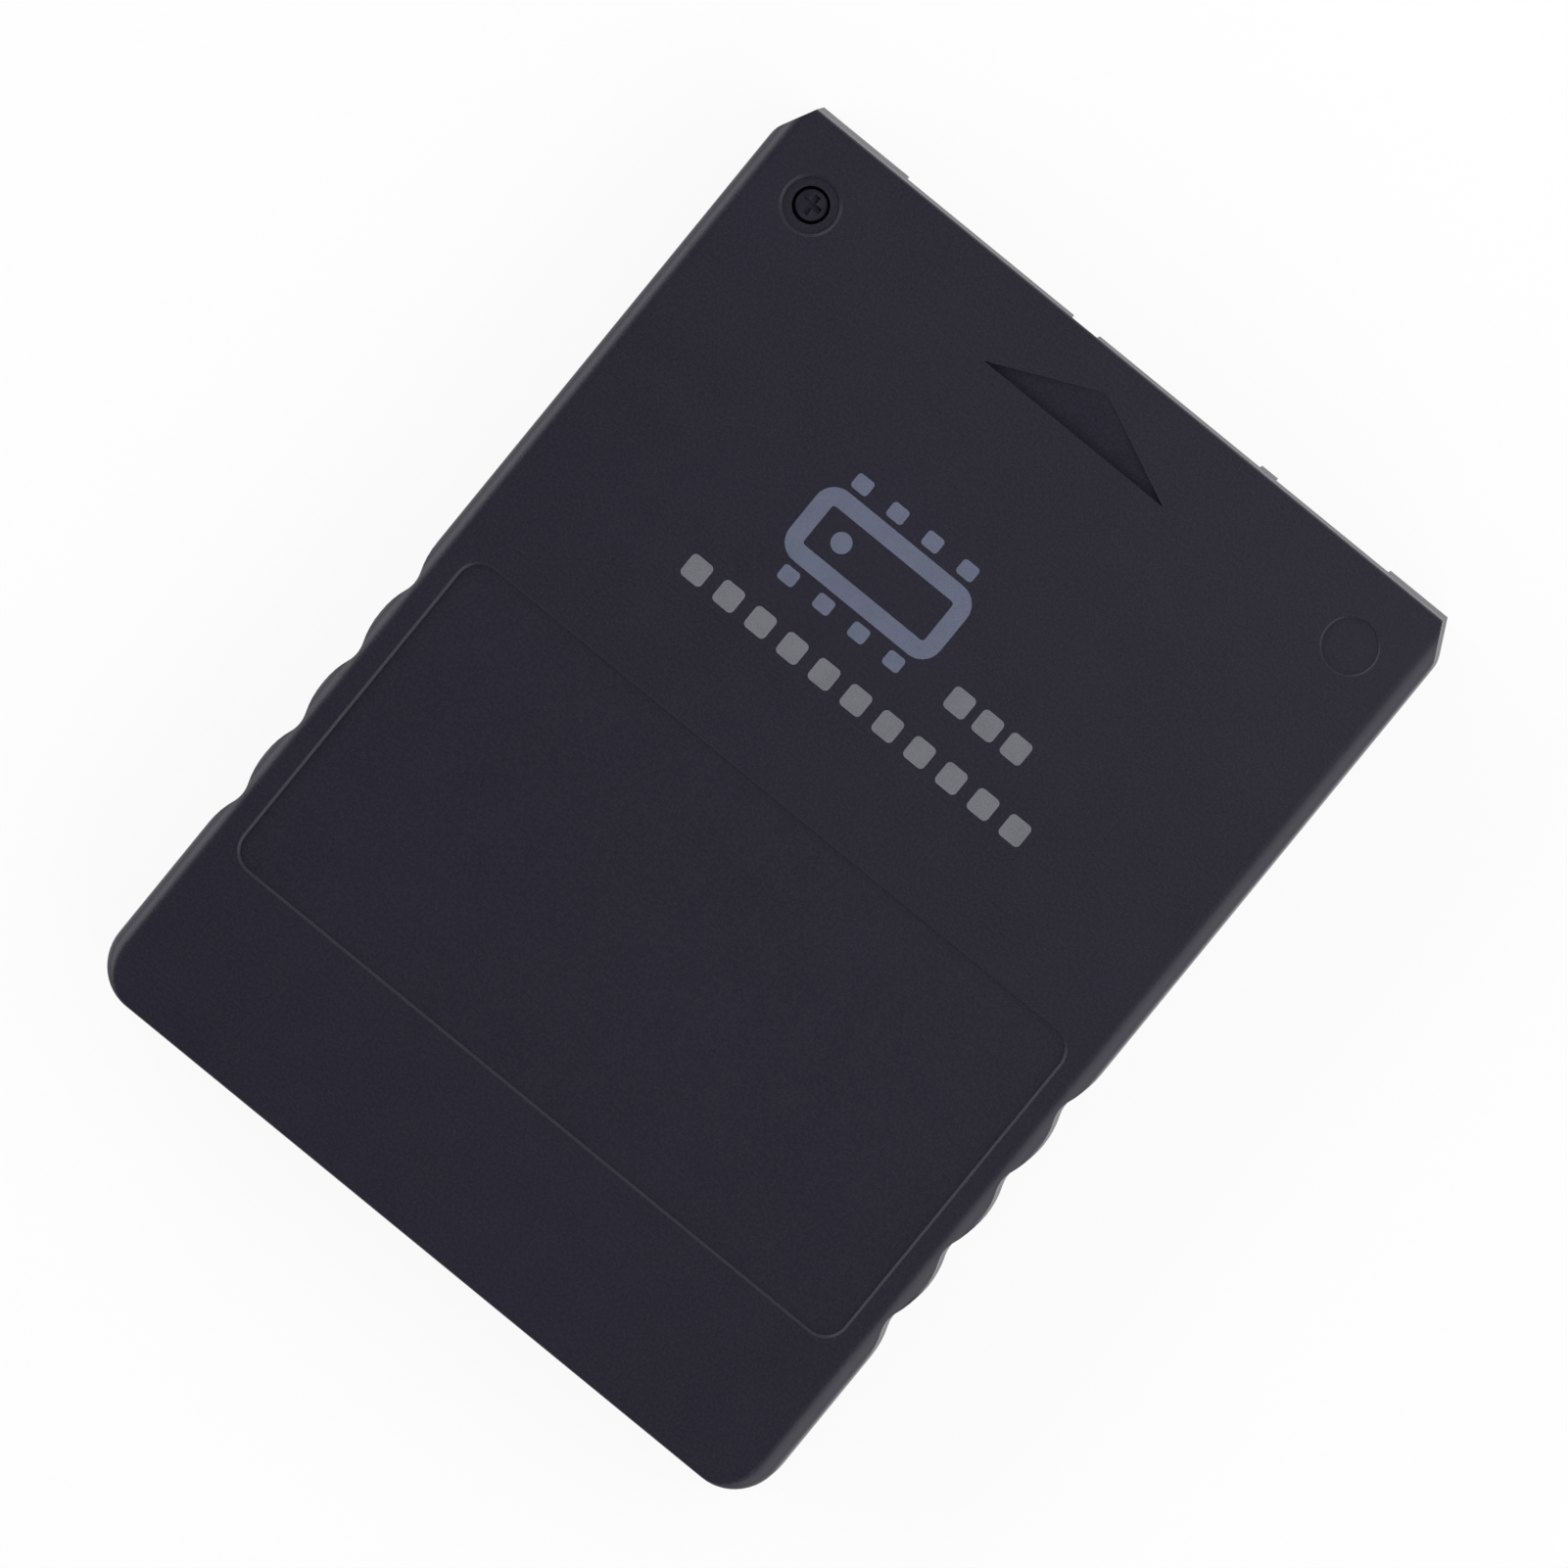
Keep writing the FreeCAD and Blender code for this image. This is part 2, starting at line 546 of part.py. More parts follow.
def round_top_edges(block):
    """Round the upper edge: softly along the sides, tightly along the rear, blending at the corners.

    The radius runs along the chain of edges in the direction of the chain's first edge, so the
    two radii of a corner are given in that order.
    """
    document.recompute()
    at_top = level_at(TOP)
    nose = value(NOSE)
    rear = value(f"-{NOSE}")
    corner = value(f"rear_corner_radius - {NOSE}")
    soft = value("top_edge_radius")
    tight = value("rear_edge_radius")
    anticlockwise = None
    radii = []
    for number, edge in enumerate(block.Shape.Edges, start=1):
        box = edge.BoundBox
        if not at_top(box) or box.YMin > nose - TOLERANCE:
            continue
        if anticlockwise is None:
            start = edge.valueAt(edge.FirstParameter)
            anticlockwise = start.cross(edge.valueAt(edge.LastParameter)).z > 0
        if box.YMax < rear + TOLERANCE:
            radii.append((number, tight, tight))
        elif box.YMax > corner + TOLERANCE:
            radii.append((number, soft, soft))
        elif anticlockwise == (box.XMax < 0):
            radii.append((number, soft, tight))
        else:
            radii.append((number, tight, soft))
    rounded = document.addObject("Part::Fillet", f"{block.Name}_rounded")
    rounded.Base = block
    rounded.Edges = radii
    document.recompute()
    return rounded


def cut_label_recess(body):
    """Sink the shallow field for a label into the printed face."""
    sketch = new_sketch(body, "label", TOP)
    label_nose = f"{LABEL_REAR} + label_length"
    add_rectangle(sketch, f"-{LABEL_RIGHT}", LABEL_RIGHT, LABEL_REAR, label_nose)
    pocket(body, sketch, "label_depth")
    spots = [(x, y) for x in (LABEL_RIGHT, f"-{LABEL_RIGHT}") for y in (LABEL_REAR, label_nose)]
    fillet(body, "label_corners", "label_corner_radius", upright_at(*spots))
    at_top = level_at(TOP)
    right = value(LABEL_RIGHT)
    low = value(LABEL_REAR)
    high = value(label_nose)

    def around_label(box):
        across = abs(box.XMin) < right + TOLERANCE and abs(box.XMax) < right + TOLERANCE
        along = box.YMin > low - TOLERANCE and box.YMax < high + TOLERANCE
        return at_top(box) and across and along

    chamfer(body, "label_edge", "label_bevel", around_label)


def sink_disc(body, name, x, y):
    """Sink a shallow round field with a bevelled upper edge into the printed face."""
    disc = new_sketch(body, name, TOP)
    add_circle(disc, f"{name}_diameter", x, y)
    pocket(body, disc, f"{name}_depth")
    at_top = level_at(TOP)
    middle = vector(x, y)
    diameter = value(f"{name}_diameter")

    def around_disc(box):
        wide = abs(box.XLength - diameter) < TOLERANCE and abs(box.YLength - diameter) < TOLERANCE
        near = abs(box.Center.x - middle.x) < TOLERANCE and abs(box.Center.y - middle.y) < TOLERANCE
        return at_top(box) and wide and near

    chamfer(body, f"{name}_edge", f"{name}_bevel", around_disc)


def cut_arrow(body):
    """Sink the insertion arrow: a ramp that is deepest at its base and runs out at its point."""
    arrow = body.newObject("PartDesign::SubtractiveWedge", f"{body.Name}_arrow")
    limits = {
        "Xmin": "-arrow_width / 2",
        "Xmax": "arrow_width / 2",
        "X2min": "0",
        "X2max": "0",
        "Ymin": ARROW_BASE,
        "Ymax": f"{ARROW_BASE} + arrow_length",
        "Zmin": f"{TOP} - arrow_depth",
        "Zmax": TOP,
        "Z2min": TOP,
        "Z2max": TOP,
    }
    for limit, formula in limits.items():
        arrow.setExpression(limit, bound(formula))
    document.recompute()


def cut_notch(body, height, depth):
    """Cut the keying notch into the connector end, upwards from a height."""
    notch = new_sketch(body, "notch", height)
    add_block(notch, "notch_width", "2 * notch_depth", FIRST_RIB, NOSE)
    pocket(body, notch, depth, along_normal=True)


def build_upper_shell():
    """Make the upper half: printed face, sides, screw post, socket, pins and hook pockets."""
    block = new_body("upper_block")
    shell_block(block, SEAM, TOP)
    body = new_body("upper_shell")
    body.BaseFeature = round_top_edges(block)
    cut_sides(body, SEAM)
    at_top = level_at(TOP)
    nose = value(NOSE)
    chamfer(body, "nose_edge", "nose_bevel", lambda box: at_top(box) and box.YMin > nose - TOLERANCE)
    chamfer(body, "seam_edge", "seam_bevel", level_at(SEAM))

    cavity = new_sketch(body, "cavity", SEAM)
    add_rectangle(cavity, f"-{INNER_RIGHT}", INNER_RIGHT, INNER_REAR, INNER_NOSE)
    pocket(body, cavity, f"{CEILING} - {SEAM}", along_normal=True)
    cavity_corners = upright_at((INNER_RIGHT, INNER_REAR), (f"-{INNER_RIGHT}", INNER_REAR))
    fillet(body, "cavity_corners", "inner_corner_radius", cavity_corners)

    rebate = new_sketch(body, "rebate", SEAM)
    rebate_right = f"({TONGUE_RIGHT} + fit_gap)"
    rebate_rear = f"({TONGUE_REAR} - fit_gap)"
    add_rectangle(rebate, f"-{rebate_right}", rebate_right, rebate_rear, f"{TONGUE_END} + fit_gap")
    pocket(body, rebate, "tongue_height + fit_gap", along_normal=True)
    rebate_corners = upright_at((rebate_right, rebate_rear), (f"-{rebate_right}", rebate_rear))
    fillet(body, "rebate_corners", "inner_corner_radius + tongue_thickness + fit_gap", rebate_corners)

    inside = new_sketch(body, "post", SEAM)
    add_circle(inside, POST_DIAMETER, POST_X, POST_Y)
    pad(body, inside, f"{CEILING} - {SEAM}")
    socket = new_sketch(body, "socket", f"{BOARD_TOP} + fit_gap")
    add_circle(socket, "peg_diameter + 2 * fit_gap + 2 * socket_wall", PEG_X, PEG_Y)
    add_circle(socket, "peg_diameter + 2 * fit_gap", PEG_X, PEG_Y)
    pad(body, socket, "over_board - fit_gap")
    pins = new_sketch(body, "pins", f"{BOARD_TOP} + fit_gap")
    for side in ("", "-"):
        add_circle(pins, "pin_diameter", f"{side}{SUPPORT_X}", SUPPORT_Y)
    pad(body, pins, "over_board - fit_gap")

    snap = new_sketch(body, "snap", f"-{INNER_REAR}", plane="XZ_Plane")
    snap_low = f"{BARB_LOW} - fit_gap"
    snap_high = f"{HOOK_TOP} + fit_gap"
    add_rectangle(snap, f"{HOOK_SIDE} - fit_gap", f"{HOOK_SIDE} + hook_width + fit_gap", snap_low, snap_high)
    mirror_across(body, pocket(body, snap, "barb_reach + 2 * fit_gap", along_normal=True))

    sink_disc(body, "dish", POST_X, POST_Y)
    counterbore = new_sketch(body, "counterbore", TOP)
    add_circle(counterbore, "screw_head_diameter + 2 * head_gap", POST_X, POST_Y)
    pocket(body, counterbore, "screw_sink + screw_head_height")
    passage = new_sketch(body, "passage", TOP)
    add_circle(passage, "screw_shank_diameter + 2 * shank_gap", POST_X, POST_Y)
    pocket(body, passage)

    cut_label_recess(body)
    cut_arrow(body)
    sink_disc(body, "mark", f"-{POST_X}", POST_Y)
    cut_notch(body, SEAM, f"{TOP} - {SEAM} - notch_roof")
    return body


def build_lower_shell():
    """Make the lower half: base, contact windows, tongue, hooks, posts and board supports."""
    body = new_body("lower_shell")
    shell_block(body, "0", SEAM)
    cut_sides(body, "0")
    fillet(body, "base_edge", "base_edge_radius", level_at("0"))
    chamfer(body, "seam_edge", "seam_bevel", level_at(SEAM))

    cavity = new_sketch(body, "cavity", SEAM)
    back = f"{WINDOW_BACK} - back_wall"
    left_rib = f"{CONTACT_LEFT} - rib_width"
    right_rib = f"{CONTACT_RIGHT} + rib_width"
    add_polygon(
        cavity,
        (f"-{INNER_RIGHT}", INNER_REAR),
        (INNER_RIGHT, INNER_REAR),
        (INNER_RIGHT, INNER_NOSE),
        (right_rib, INNER_NOSE),
        (right_rib, back),
        (left_rib, back),
        (left_rib, INNER_NOSE),
        (f"-{INNER_RIGHT}", INNER_NOSE),
    )
    pocket(body, cavity, f"{SEAM} - floor_wall")
    cavity_corners = upright_at((INNER_RIGHT, INNER_REAR), (f"-{INNER_RIGHT}", INNER_REAR))
    fillet(body, "cavity_corners", "inner_corner_radius", cavity_corners)
    rebate = new_sketch(body, "board_rebate", SEAM)
    add_rectangle(rebate, left_rib, INNER_RIGHT, back, INNER_NOSE)
    pocket(body, rebate, "seam_rise")

    tongue = new_sketch(body, "tongue", SEAM)
    add_polygon(
        tongue,
        (f"-{TONGUE_RIGHT}", TONGUE_REAR),
        (TONGUE_RIGHT, TONGUE_REAR),
        (TONGUE_RIGHT, TONGUE_END),
        (INNER_RIGHT, TONGUE_END),
        (INNER_RIGHT, INNER_REAR),
        (f"-{INNER_RIGHT}", INNER_REAR),
        (f"-{INNER_RIGHT}", TONGUE_END),
        (f"-{TONGUE_RIGHT}", TONGUE_END),
    )
    pad(body, tongue, "tongue_height")
    tongue_corners = upright_at((TONGUE_RIGHT, TONGUE_REAR), (f"-{TONGUE_RIGHT}", TONGUE_REAR))
    fillet(body, "tongue_corners", "inner_corner_radius + tongue_thickness", tongue_corners)

    post = new_sketch(body, "post", "floor_wall")
    add_circle(post, POST_DIAMETER, POST_X, POST_Y)
    pad(body, post, f"{SEAM} - floor_wall")
    supports = new_sketch(body, "supports", "floor_wall")
    for side in ("", "-"):
        add_circle(supports, "support_diameter", f"{side}{SUPPORT_X}", SUPPORT_Y)
    add_circle(supports, "peg_diameter + 2 * peg_shoulder", PEG_X, PEG_Y)
    pad(body, supports, "under_board")
    peg = new_sketch(body, "peg", BOARD_LOW)
    add_circle(peg, "peg_diameter", PEG_X, PEG_Y)
    pad(body, peg, "board_thickness + peg_reach")

    hook = new_sketch(body, "hook", HOOK_SIDE, plane="YZ_Plane")
    shoulder = f"{INNER_REAR} + fit_gap"
    add_polygon(
        hook,
        (INNER_REAR, "floor_wall"),
        (f"{INNER_REAR} + hook_thickness", "floor_wall"),
        (f"{INNER_REAR} + hook_thickness", HOOK_TOP),
        (shoulder, HOOK_TOP),
        (f"{INNER_REAR} - barb_reach", BARB_LOW),
        (shoulder, BARB_LOW),
        (shoulder, TONGUE_TOP),
        (INNER_REAR, TONGUE_TOP),
    )
    mirror_across(body, pad(body, hook, "hook_width"))

    thread = new_sketch(body, "thread", SEAM)
    add_circle(thread, "screw_shank_diameter", POST_X, POST_Y)
    pocket(body, thread, f"{SEAM} - {SCREW_SEAT} + screw_length + fit_gap")
    windows = new_sketch(body, "windows", SEAM)
    beyond = f"{NOSE} + nose_wall"
    half_rib = "rib_width / 2"
    add_rectangle(windows, CONTACT_LEFT, f"{FIRST_RIB} - {half_rib}", WINDOW_BACK, beyond)
    add_rectangle(windows, f"{FIRST_RIB} + {half_rib}", f"{SECOND_RIB} - {half_rib}", WINDOW_BACK, beyond)
    add_rectangle(windows, f"{SECOND_RIB} + {half_rib}", CONTACT_RIGHT, WINDOW_BACK, beyond)
    pocket(body, windows)
    cut_notch(body, "0", SEAM)
    return body


def build_case_screw():
    """Make the screw that holds the shells: a turned form with a cross recess."""
    body = new_body("case_screw", POST_X, POST_Y, SCREW_SEAT)
    profile = new_sketch(body, "profile", plane="XZ_Plane")
    add_polygon(
        profile,
        ("0", "-screw_length"),
        ("screw_tip_diameter / 2", "-screw_length"),
        ("screw_shank_diameter / 2", "screw_tip_length - screw_length"),
        ("screw_shank_diameter / 2", "0"),
        ("screw_head_diameter / 2", "0"),
        ("screw_head_diameter / 2", "screw_head_height - screw_head_edge"),
        ("screw_head_diameter / 2 - screw_head_edge", "screw_head_height"),
        ("0", "screw_head_height"),
    )
    turned = body.newObject("PartDesign::Revolution", "case_screw_turned")
    turned.Profile = profile
    turned.ReferenceAxis = (profile, ["V_Axis"])
    turned.Angle = 360.0
    recess = new_sketch(body, "recess", "screw_head_height")
    tip = "recess_length / 2"
    arm = "recess_width / 2"
    add_polygon(
        recess,
        (arm, arm), (tip, arm), (tip, f"-{arm}"), (arm, f"-{arm}"),
        (arm, f"-{tip}"), (f"-{arm}", f"-{tip}"), (f"-{arm}", f"-{arm}"), (f"-{tip}", f"-{arm}"),
        (f"-{tip}", arm), (f"-{arm}", arm), (f"-{arm}", tip), (arm, tip),
    )
    pocket(body, recess, "recess_depth")
    return body


# Board and what it carries

def build_circuit_board():
    """Make the bare board, cut away around the screw post and drilled for the peg."""
    body = new_body("circuit_board", z=BOARD_LOW)
    outline = new_sketch(body, "outline")
    notch_x = f"{POST_X} + {POST_DIAMETER} / 2 + board_gap"
    notch_y = f"{POST_Y} - {POST_DIAMETER} / 2 - board_gap"
    add_polygon(
        outline,
        (f"-{BOARD_RIGHT}", BOARD_REAR),
        (BOARD_RIGHT, BOARD_REAR),
        (BOARD_RIGHT, BOARD_NOSE),
        (notch_x, BOARD_NOSE),
        (notch_x, notch_y),
        (f"-{BOARD_RIGHT}", notch_y),
    )
    pad(body, outline, "board_thickness")
    drilling = new_sketch(body, "peg_hole", "board_thickness")
    add_circle(drilling, "peg_diameter + 2 * fit_gap", PEG_X, PEG_Y)
    pocket(body, drilling)
    return body


def build_contact_fingers():
    """Make the plated contacts under the board, in a row that the ribs divide."""
    body = new_body("contact_fingers", x=FIRST_CONTACT, z=f"{BOARD_LOW} - contact_thickness")
    finger = new_sketch(body, "finger")
    half = f"({CONTACT_PITCH} - contact_gap) / 2"
    low = f"{WINDOW_BACK} + contact_end_gap"
    add_rectangle(finger, f"-{half}", half, low, f"{BOARD_NOSE} - contact_end_gap")
    row_pattern(body, pad(body, finger, "contact_thickness"), "X_Axis", CONTACT_PITCH, "contact_count")
    return body


def add_lead_pair(sketch, half_width, half_span, exit_height):
    """Draw the bent side view of a lead on both sides of a chip."""
    knee = f"({half_width} + {half_span}) / 2"
    half = "lead_thickness / 2"
    for side in ("1", "-1"):
        add_polygon(
            sketch,
            (f"{side} * {half_width}", f"{exit_height} + {half}"),
            (f"{side} * ({knee} + {half})", f"{exit_height} + {half}"),
            (f"{side} * ({knee} + {half})", "lead_thickness"),
            (f"{side} * {half_span}", "lead_thickness"),
            (f"{side} * {half_span}", "0"),
            (f"{side} * ({knee} - {half})", "0"),
            (f"{side} * ({knee} - {half})", f"{exit_height} - {half}"),
            (f"{side} * {half_width}", f"{exit_height} - {half}"),
        )


def lead_rows(body, name, plane, axis, half_width, half_span):
    """Repeat a pair of leads along a chip, with the row's middle at the chip's middle."""
    pitch, width, count = f"{name}_pitch", f"{name}_lead_width", f"{name}_lead_count"
    first = f"(({count} - 1) * {pitch} / 2 + {width} / 2)"
    against = plane == "XZ_Plane"
    sketch = new_sketch(body, axis.lower(), first if against else f"-{first}", plane=plane)
    add_lead_pair(sketch, half_width, half_span, f"(chip_standoff + {name}_height / 2)")
    row_pattern(body, pad(body, sketch, width, backward=against), axis, pitch, count)


def build_chip_body(label, name, place, marked=True):
    """Make a chip's moulded body, with a mark at its first lead where there is room."""
    body = new_body(label, *place)
    outline = new_sketch(body, "outline", "chip_standoff")
    add_block(outline, f"{name}_width", f"{name}_length")
    pad(body, outline, f"{name}_height")
    if marked:
        mark = new_sketch(body, "mark", f"chip_standoff + {name}_height")
        mark_x = f"dimple_inset - {name}_width / 2"
        mark_y = f"{name}_length / 2 - dimple_inset"
        add_circle(mark, "dimple_diameter", mark_x, mark_y)
        pocket(body, mark, "dimple_depth")
    return body


def build_two_sided_leads(label, name, place):
    """Make the leads of a chip that has them on two sides."""
    body = new_body(label, *place)
    half_span = f"({name}_width / 2 + {name}_overhang)"
    lead_rows(body, name, "XZ_Plane", "Y_Axis", f"{name}_width / 2", half_span)
    return body


def build_four_sided_leads(label, name, place):
    """Make the leads of a chip that has them on four sides."""
    body = new_body(label, *place)
    for plane, axis, size in (("XZ_Plane", "Y_Axis", "width"), ("YZ_Plane", "X_Axis", "length")):
        half_span = f"({name}_{size} / 2 + {name}_overhang)"
        lead_rows(body, name, plane, axis, f"{name}_{size} / 2", half_span)
    return body


def build_crystal():
    """Make the clock crystal: a ceramic base under a metal lid."""
    base = new_body("crystal_base", CRYSTAL_X, CRYSTAL_Y, BOARD_TOP)
    outline = new_sketch(base, "outline")
    add_block(outline, "crystal_width", "crystal_length")
    pad(base, outline, "crystal_base_height")
    lid = new_body("crystal_lid", CRYSTAL_X, CRYSTAL_Y, f"{BOARD_TOP} + crystal_base_height")
    cover = new_sketch(lid, "outline")
    add_block(cover, "(crystal_width - 2 * crystal_lid_inset)", "(crystal_length - 2 * crystal_lid_inset)")
    pad(lid, cover, "crystal_lid_height")
    return [base, lid]


def build_bulk_capacitor():
    """Make the larger capacitor: a moulded body with a lead folded under each end."""
    body = new_body("bulk_capacitor", *BULK_PLACE)
    outline = new_sketch(body, "outline", "bulk_lead_thickness")
    add_block(outline, "(bulk_width - 2 * bulk_lead_thickness)", "bulk_length")
    pad(body, outline, "bulk_height")
    leads = new_body("bulk_capacitor_leads", *BULK_PLACE)
    fold = new_sketch(leads, "fold", "bulk_lead_width / 2", plane="XZ_Plane")
    for side in ("1", "-1"):
        outer = f"{side} * bulk_width / 2"
        inner = f"{side} * (bulk_width / 2 - bulk_lead_thickness)"
        foot = f"{side} * (bulk_width / 2 - bulk_foot)"
        add_polygon(
            fold,
            (outer, "0"), (outer, "bulk_lead_rise"), (inner, "bulk_lead_rise"),
            (inner, "bulk_lead_thickness"), (foot, "bulk_lead_thickness"), (foot, "0"),
        )
    pad(leads, fold, "bulk_lead_width", backward=True)
    return [body, leads]


def build_passive_row(label, caps_label, name, first, along, spacing, count):
    """Make a row of small two-ended parts: ceramic bodies between plated ends."""
    place = (first, along, BOARD_TOP)
    bodies = new_body(label, *place)
    middle = new_sketch(bodies, "outline")
    add_block(middle, f"({name}_length - 2 * {name}_cap)", f"{name}_width")
    row_pattern(bodies, pad(bodies, middle, f"{name}_height"), "X_Axis", spacing, count)
    caps = new_body(caps_label, *place)
    ends = new_sketch(caps, "outline")
    for side in ("", "-"):
        add_block(ends, f"{name}_cap", f"{name}_width", f"{side}({name}_length - {name}_cap) / 2")
    row_pattern(caps, pad(caps, ends, f"{name}_height"), "X_Axis", spacing, count)
    return [bodies, caps]


def build_all():
    """Make every sub-part of the card."""
    pieces = [build_upper_shell(), build_lower_shell(), build_case_screw()]
    pieces += [build_circuit_board(), build_contact_fingers()]
    pieces += [build_chip_body("flash_chip", "flash", FLASH_PLACE)]
    pieces += [build_two_sided_leads("flash_chip_leads", "flash", FLASH_PLACE)]
    pieces += [build_chip_body("controller_chip", "controller", CONTROLLER_PLACE)]
    pieces += [build_four_sided_leads("controller_chip_leads", "controller", CONTROLLER_PLACE)]
    pieces += [build_chip_body("regulator", "regulator", REGULATOR_PLACE, marked=False)]
    pieces += [build_two_sided_leads("regulator_leads", "regulator", REGULATOR_PLACE)]
    pieces += build_crystal()
    pieces += build_bulk_capacitor()
    pieces += build_passive_row(
        "ceramic_capacitors", "capacitor_caps", "capacitor",
        f"capacitor_side_inset - {RIGHT}", CAPACITOR_Y, "capacitor_spacing", "capacitor_count",
    )
    pieces += build_passive_row(
        "chip_resistors", "resistor_caps", "resistor",
        FIRST_CONTACT, RESISTOR_Y, CONTACT_PITCH, "contact_count",
    )
    return pieces


def check(pieces):
    """Stop if any object failed or any sub-part has no sound shape."""
    document.recompute()
    for item in document.Objects:
        if "Invalid" in item.State or "Error" in item.State:
            raise RuntimeError(f"{item.Name} failed: {item.State}")
    for piece in pieces:
        if piece.Shape.isNull() or not piece.Shape.isValid():
            raise RuntimeError(f"{piece.Label} has no sound shape")


def write(pieces):
    """Write each sub-part to a file of its own."""
    os.makedirs("parts", exist_ok=True)
    for piece in pieces:
        piece.Shape.exportStep(f"parts/{piece.Label}.step")
        print(f"{piece.Label}: {len(piece.Shape.Solids)} solids, {piece.Shape.Volume:.3f} cubic mm")


card = build_all()
check(card)
write(card)
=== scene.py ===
import math

import bpy
import numpy as np
from mathutils import Matrix, Vector


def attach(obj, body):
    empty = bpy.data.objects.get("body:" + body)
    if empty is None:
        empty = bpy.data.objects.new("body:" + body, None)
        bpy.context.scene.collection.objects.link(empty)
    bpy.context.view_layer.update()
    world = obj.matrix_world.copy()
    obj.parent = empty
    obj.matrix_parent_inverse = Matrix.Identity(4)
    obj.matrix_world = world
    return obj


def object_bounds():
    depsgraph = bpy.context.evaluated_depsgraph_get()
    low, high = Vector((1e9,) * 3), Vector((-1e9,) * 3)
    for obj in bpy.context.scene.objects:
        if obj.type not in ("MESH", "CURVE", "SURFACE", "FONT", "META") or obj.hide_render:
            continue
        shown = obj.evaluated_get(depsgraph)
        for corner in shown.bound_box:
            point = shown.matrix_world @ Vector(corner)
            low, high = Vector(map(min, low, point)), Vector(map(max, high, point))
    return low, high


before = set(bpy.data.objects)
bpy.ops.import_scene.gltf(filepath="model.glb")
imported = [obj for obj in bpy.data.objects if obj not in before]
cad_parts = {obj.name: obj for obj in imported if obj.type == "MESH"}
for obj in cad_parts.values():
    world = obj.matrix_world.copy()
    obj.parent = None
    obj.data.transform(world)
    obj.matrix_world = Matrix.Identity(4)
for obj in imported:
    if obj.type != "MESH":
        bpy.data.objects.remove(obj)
cad_low, cad_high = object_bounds()

bl_info = {
    "name": "Memory card",
    "version": (1, 0, 0),
    "blender": (4, 5, 0),
    "location": "View3D > Sidebar > Memory card",
    "description": "Finishes for a memory card, the print on its face and a plain studio",
    "category": "Object",
}

BODY = "root"
MM = 0.001

# Middle of noise that runs from 0 to 1
NOISE_MIDDLE = 0.5

# Levels of a pattern where a mark starts and where it is full
GRAIN_TIPS = (0.35, 0.70)
RUBBED_PATCHES = (0.30, 0.72)
THIN_INK = (0.62, 0.30)
COPPER_TRACKS = (0.2, 0.5)

# Widths, stretches and depths of the patterns in metal, laminate, resin, ink and floor
SCRATCH_WIDTH = 0.05 * MM
SCRATCH_STRETCH = 0.08
SCRATCH_DEPTH = 0.002 * MM
FILM_WIDTH = 0.6 * MM
SCORE_WIDTH = 0.08 * MM
SCORE_STRETCH = 0.04
SCORE_DEPTH = 0.0015 * MM
HAZE_WIDTH = 1.4 * MM
THREAD_PITCH = 0.5 * MM
TRACK_PITCH = 1.1 * MM
LACQUER_CLOUD = 5.0 * MM
LACQUER_RELIEF = 0.012 * MM
SAND_WIDTH = 0.07 * MM
SAND_DEPTH = 0.004 * MM
RESIN_CLOUD = 1.8 * MM
SCREEN_WIDTH = 0.14 * MM
SCREEN_DEPTH = 0.004 * MM
COVER_WIDTH = 1.5 * MM
FLOOR_DUST = 20.0 * MM

# Corner radii of the print, as shares of a piece's side and of the sign's stroke
BLOCK_CORNER = 0.2
SIGN_CORNER = 1.2

# Watts that a square metre of softbox takes for a radiance of 1
SOFTBOX_WATTS = 4.0

SHELLS = ("upper_shell", "lower_shell")
CHIPS = ("flash_chip", "controller_chip", "regulator")
TINNED = (
    "flash_chip_leads",
    "controller_chip_leads",
    "regulator_leads",
    "bulk_capacitor_leads",
    "capacitor_caps",
    "resistor_caps",
)


# Settings that a user would change

def length(name, description, default):
    """Describe a length in metres."""
    return bpy.props.FloatProperty(
        name=name, description=description, default=default, unit="LENGTH", precision=5
    )


def share(name, description, default):
    """Describe a share from nothing to all."""
    return bpy.props.FloatProperty(
        name=name, description=description, default=default, min=0.0, max=1.0, subtype="FACTOR"
    )


def colour(name, description, default):
    """Describe a colour in linear light."""
    return bpy.props.FloatVectorProperty(
        name=name, description=description, default=default, size=3, min=0.0, max=1.0, subtype="COLOR"
    )


def angle(name, description, default):
    """Describe an angle that is given in degrees."""
    return bpy.props.FloatProperty(
        name=name, description=description, default=math.radians(default), subtype="ANGLE"
    )


def radiance(name, description, default):
    """Describe how bright a softbox looks, where 1 is white."""
    return bpy.props.FloatProperty(name=name, description=description, default=default, min=0.0)


